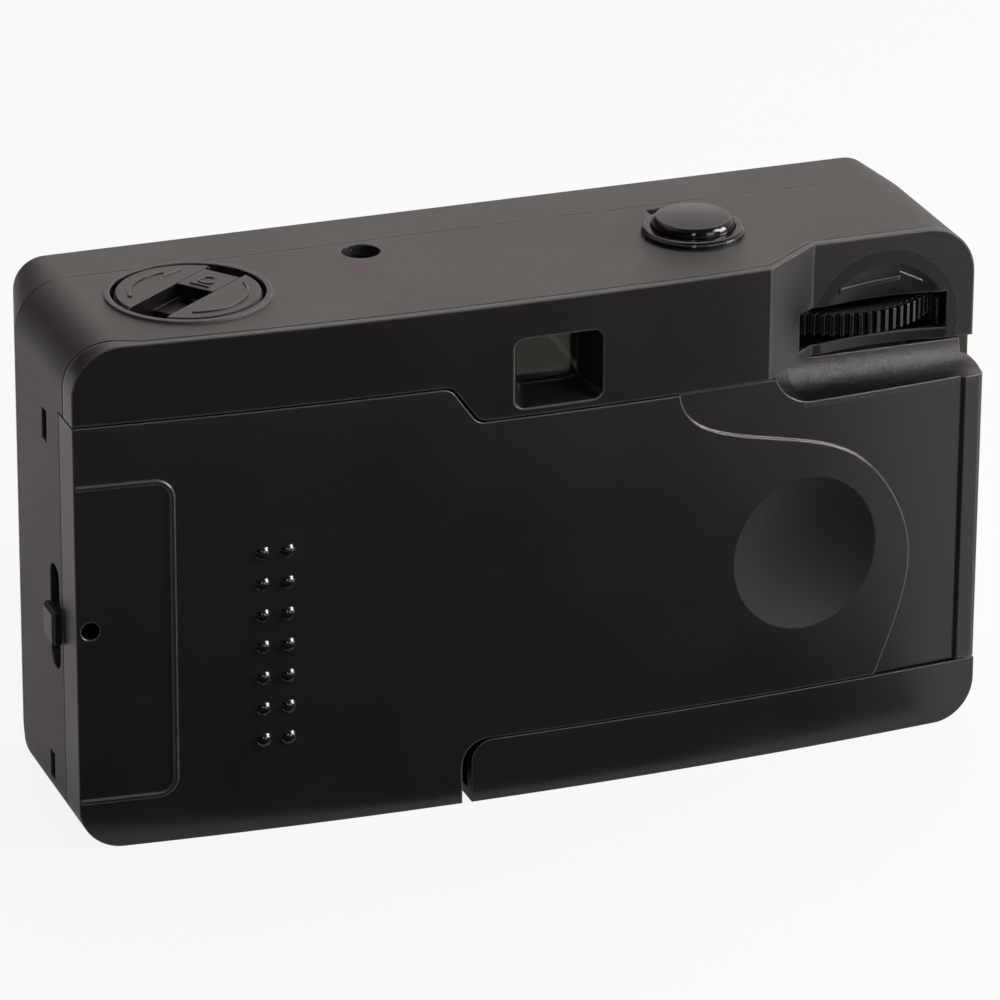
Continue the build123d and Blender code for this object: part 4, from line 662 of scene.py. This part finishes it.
for frame_number in range(FRAMES):
    turn = 2*math.pi*frame_number/FRAMES
    way = Vector((math.sin(turn), math.cos(turn), 0))
    side = Vector((way.y, -way.x, 0))*MARK_HALF_WIDTH
    mark = Vector((dial_centre.x, dial_centre.y, high.z)) + way*MARK_RADIUS
    ends = (mark - way*MARK_HALF_LENGTH, mark + way*MARK_HALF_LENGTH)
    marks.append([(end - side, end + side) for end in ends])
raised_bars("dial_marks", "counter", marks, MARK_RISE, ink)

# %% [markdown]
# The stage is a pale floor and soft light. The floor is one large plane that the camera sees
# everywhere behind the object. Its shader shows mostly plain white to the camera, so it stays pale
# without more light on the object, and the rest of it is matte, so the shadow stays. A mirror ray
# sees the matte floor with a trace of the white one, because the glossy back would turn grey under
# a floor that is white all over.

# %% Floor
FLOOR_HALF = 4.0
FLOOR_GAP = 0.02*MM
CAMERA_WHITE = 0.88
MIRROR_WHITE = 0.2
PURE_WHITE = (1, 1, 1, 1)


def straight_rays(tree, ray):
    """1 for rays that show the background as it is: from the camera, also through clear plastic."""
    direct = ray.outputs["Is Camera Ray"]
    through = ray.outputs["Is Transmission Ray"]
    return add(tree, "ShaderNodeMath", {0: direct, 1: through}, operation="MAXIMUM").outputs["Value"]


floor_mesh = bpy.data.meshes.new("floor")
floor_mesh.from_pydata([(-FLOOR_HALF, -FLOOR_HALF, 0), (FLOOR_HALF, -FLOOR_HALF, 0),
                        (FLOOR_HALF, FLOOR_HALF, 0), (-FLOOR_HALF, FLOOR_HALF, 0)], [], [(0, 1, 2, 3)])
floor = bpy.data.objects.new("floor", floor_mesh)
bpy.context.scene.collection.objects.link(floor)
floor.location.z = cad_box[0].z - FLOOR_GAP

floor_paint, tree = new_material("floor_paint")
ray = add(tree, "ShaderNodeLightPath")
share = product(tree, straight_rays(tree, ray), CAMERA_WHITE)
mirror = add(tree, "ShaderNodeMath", {0: ray.outputs["Is Glossy Ray"], 1: MIRROR_WHITE, 2: share},
             operation="MULTIPLY_ADD")
matte = add(tree, "ShaderNodeBsdfDiffuse", {"Color": linear("#c4c3c1")})
white = add(tree, "ShaderNodeEmission", {"Color": PURE_WHITE, "Strength": 1.0})
mixed = add(tree, "ShaderNodeMixShader", {0: mirror.outputs["Value"], 1: matte.outputs["BSDF"],
                                          2: white.outputs["Emission"]})
add(tree, "ShaderNodeOutputMaterial", {"Surface": mixed.outputs["Shader"]})
floor_mesh.materials.append(floor_paint)
print("floor", 2*FLOOR_HALF, "m wide, at z", round(floor.location.z, 6))

# %% [markdown]
# Photographers keep black plastic black with a card: a sheet of dark cloth on the table in front
# of the object, just out of the lens's sight, which is all that a flat upright face then mirrors.
# Here the card is hidden from camera rays and casts no shadow. It ends near the right-hand end of
# the object, so the bowed back grows lighter there.

# %% Black card
CARD_HEIGHT = 0.2*MM
CARD = ((-52*MM, 19*MM), (260*MM, 19*MM), (260*MM, 330*MM), (-260*MM, 330*MM), (-118*MM, 140*MM))
card_mesh = bpy.data.meshes.new("black_card")
card_mesh.from_pydata([(x, y, CARD_HEIGHT) for x, y in CARD], [], [tuple(range(len(CARD)))])
card = bpy.data.objects.new("black_card", card_mesh)
bpy.context.scene.collection.objects.link(card)
card.visible_camera = False
card.visible_shadow = False
card.visible_transmission = False
card.visible_diffuse = False
cloth, tree = new_material("black_flock_cloth")
nap = add(tree, "ShaderNodeBsdfDiffuse", {"Color": linear("#2c2c2c")})
add(tree, "ShaderNodeOutputMaterial", {"Surface": nap.outputs["BSDF"]})
card_mesh.materials.append(cloth)
print("card with", len(CARD), "corners")

# %% [markdown]
# The studio is a white wall behind the object and a dark room in front of it, where the
# photographer stands. That is what gives black plastic its form: the top mirrors the wall and turns
# grey, while the back mirrors the dark room and stays black. The world's strength therefore runs
# from the wall side, -Y, to the room side, +Y, and the wall's light is a little warmer than the
# room's. A dark flag stands beyond the left corner. The camera itself sees plain white.

# %% World
WALL_LIGHT = 0.92
ROOM_LIGHT = 0.15
WALL_TINT = (1.0, 0.89, 0.86, 1.0)
ROOM_TINT = (1.0, 0.97, 0.95, 1.0)
WALL_TO_ROOM_Y = (-0.35, 0.4)
FLAG_X = (-0.2, 0.18)
FLAG_Z = (0.35, 0.72)
FLAG_DARK = 0.92


def ramp(tree, value, limits, low_value=0.0, high_value=1.0):
    """A soft step between two values as a socket passes from the first limit to the second."""
    return add(tree, "ShaderNodeMapRange", {
        "Value": value, "From Min": limits[0], "From Max": limits[1], "To Min": low_value,
        "To Max": high_value}, interpolation_type="SMOOTHSTEP").outputs["Result"]


world = bpy.data.worlds.new("studio")
bpy.context.scene.world = world
world.use_nodes = True
world.node_tree.nodes.clear()
tree = world.node_tree
way = split(tree, add(tree, "ShaderNodeTexCoord").outputs["Generated"])
toward_room = ramp(tree, way["Y"], WALL_TO_ROOM_Y)
side = add(tree, "ShaderNodeMapRange", {"Value": toward_room, "To Min": WALL_LIGHT, "To Max": ROOM_LIGHT})
tint = add(tree, "ShaderNodeMix", {"Factor": toward_room, "A": WALL_TINT, "B": ROOM_TINT}, data_type="RGBA")
flag = product(tree, ramp(tree, way["X"], FLAG_X), ramp(tree, way["Z"], FLAG_Z, 1.0, 0.0))
keep = add(tree, "ShaderNodeMath", {0: flag, 1: -FLAG_DARK, 2: 1.0}, operation="MULTIPLY_ADD")
strength = product(tree, side.outputs["Result"], keep.outputs["Value"])
seen = straight_rays(tree, add(tree, "ShaderNodeLightPath"))
room = add(tree, "ShaderNodeBackground", {"Color": tint.outputs["Result"], "Strength": strength})
plain = add(tree, "ShaderNodeBackground", {"Color": PURE_WHITE, "Strength": 1.0})
mixed = add(tree, "ShaderNodeMixShader", {0: seen, 1: room.outputs["Background"],
                                          2: plain.outputs["Background"]})
add(tree, "ShaderNodeOutputWorld", {"Surface": mixed.outputs["Shader"]})
print("world from", WALL_LIGHT, "at the wall to", ROOM_LIGHT, "in the room")

# %% [markdown]
# Five soft lamps finish the light. One stands high behind the object and lights its top. Two stand
# on the photographer's side, one in front and one at the right, and draw the light lines on the
# rounded edges. A low one aims at the floor beside the right end, because the bowed back and the
# upright edges mirror that pool of light. The last is small and makes the sparks at the left.

# %% Lamps
LAMP_TINT = (1.0, 0.96, 0.92)
MIDDLE = (0, 0, 0.03)
# Each lamp's place, the place that it points at and its side, in metres, and its power in watts
LAMPS = {
    "behind": ((-0.25, -0.45, 0.8), (0, -0.12, 0), 0.5, 2.2),
    "front_key": ((-0.42, 0.74, 0.28), MIDDLE, 0.34, 1.5),
    "right_key": ((-0.6, 0.42, 0.5), MIDDLE, 0.2, 3.0),
    "right_low": ((-0.45, 0.16, 0.22), (-0.18, 0.07, 0.0), 0.2, 2.6),
    "left_spark": ((0.22, 0.75, 0.42), (0.03, 0.02, 0.03), 0.1, 0.75),
}


def softbox(name, place, aim, size, power):
    """A square area lamp that points at a place."""
    lamp = bpy.data.lights.new(name, "AREA")
    lamp.shape = "SQUARE"
    lamp.size = size
    lamp.energy = power
    lamp.color = LAMP_TINT
    holder = bpy.data.objects.new(name, lamp)
    bpy.context.scene.collection.objects.link(holder)
    holder.location = place
    holder.rotation_euler = (Vector(aim) - Vector(place)).to_track_quat("-Z", "Y").to_euler()
    holder.visible_camera = False
    return holder


for name, (place, aim, size, power) in LAMPS.items():
    softbox(name, place, aim, size, power)
print("lamps", len(LAMPS))

# %% [markdown]
# The view transform is the plain one, so that a colour renders as it is written.

# %% Finish
bpy.context.scene.view_settings.view_transform = "Standard"
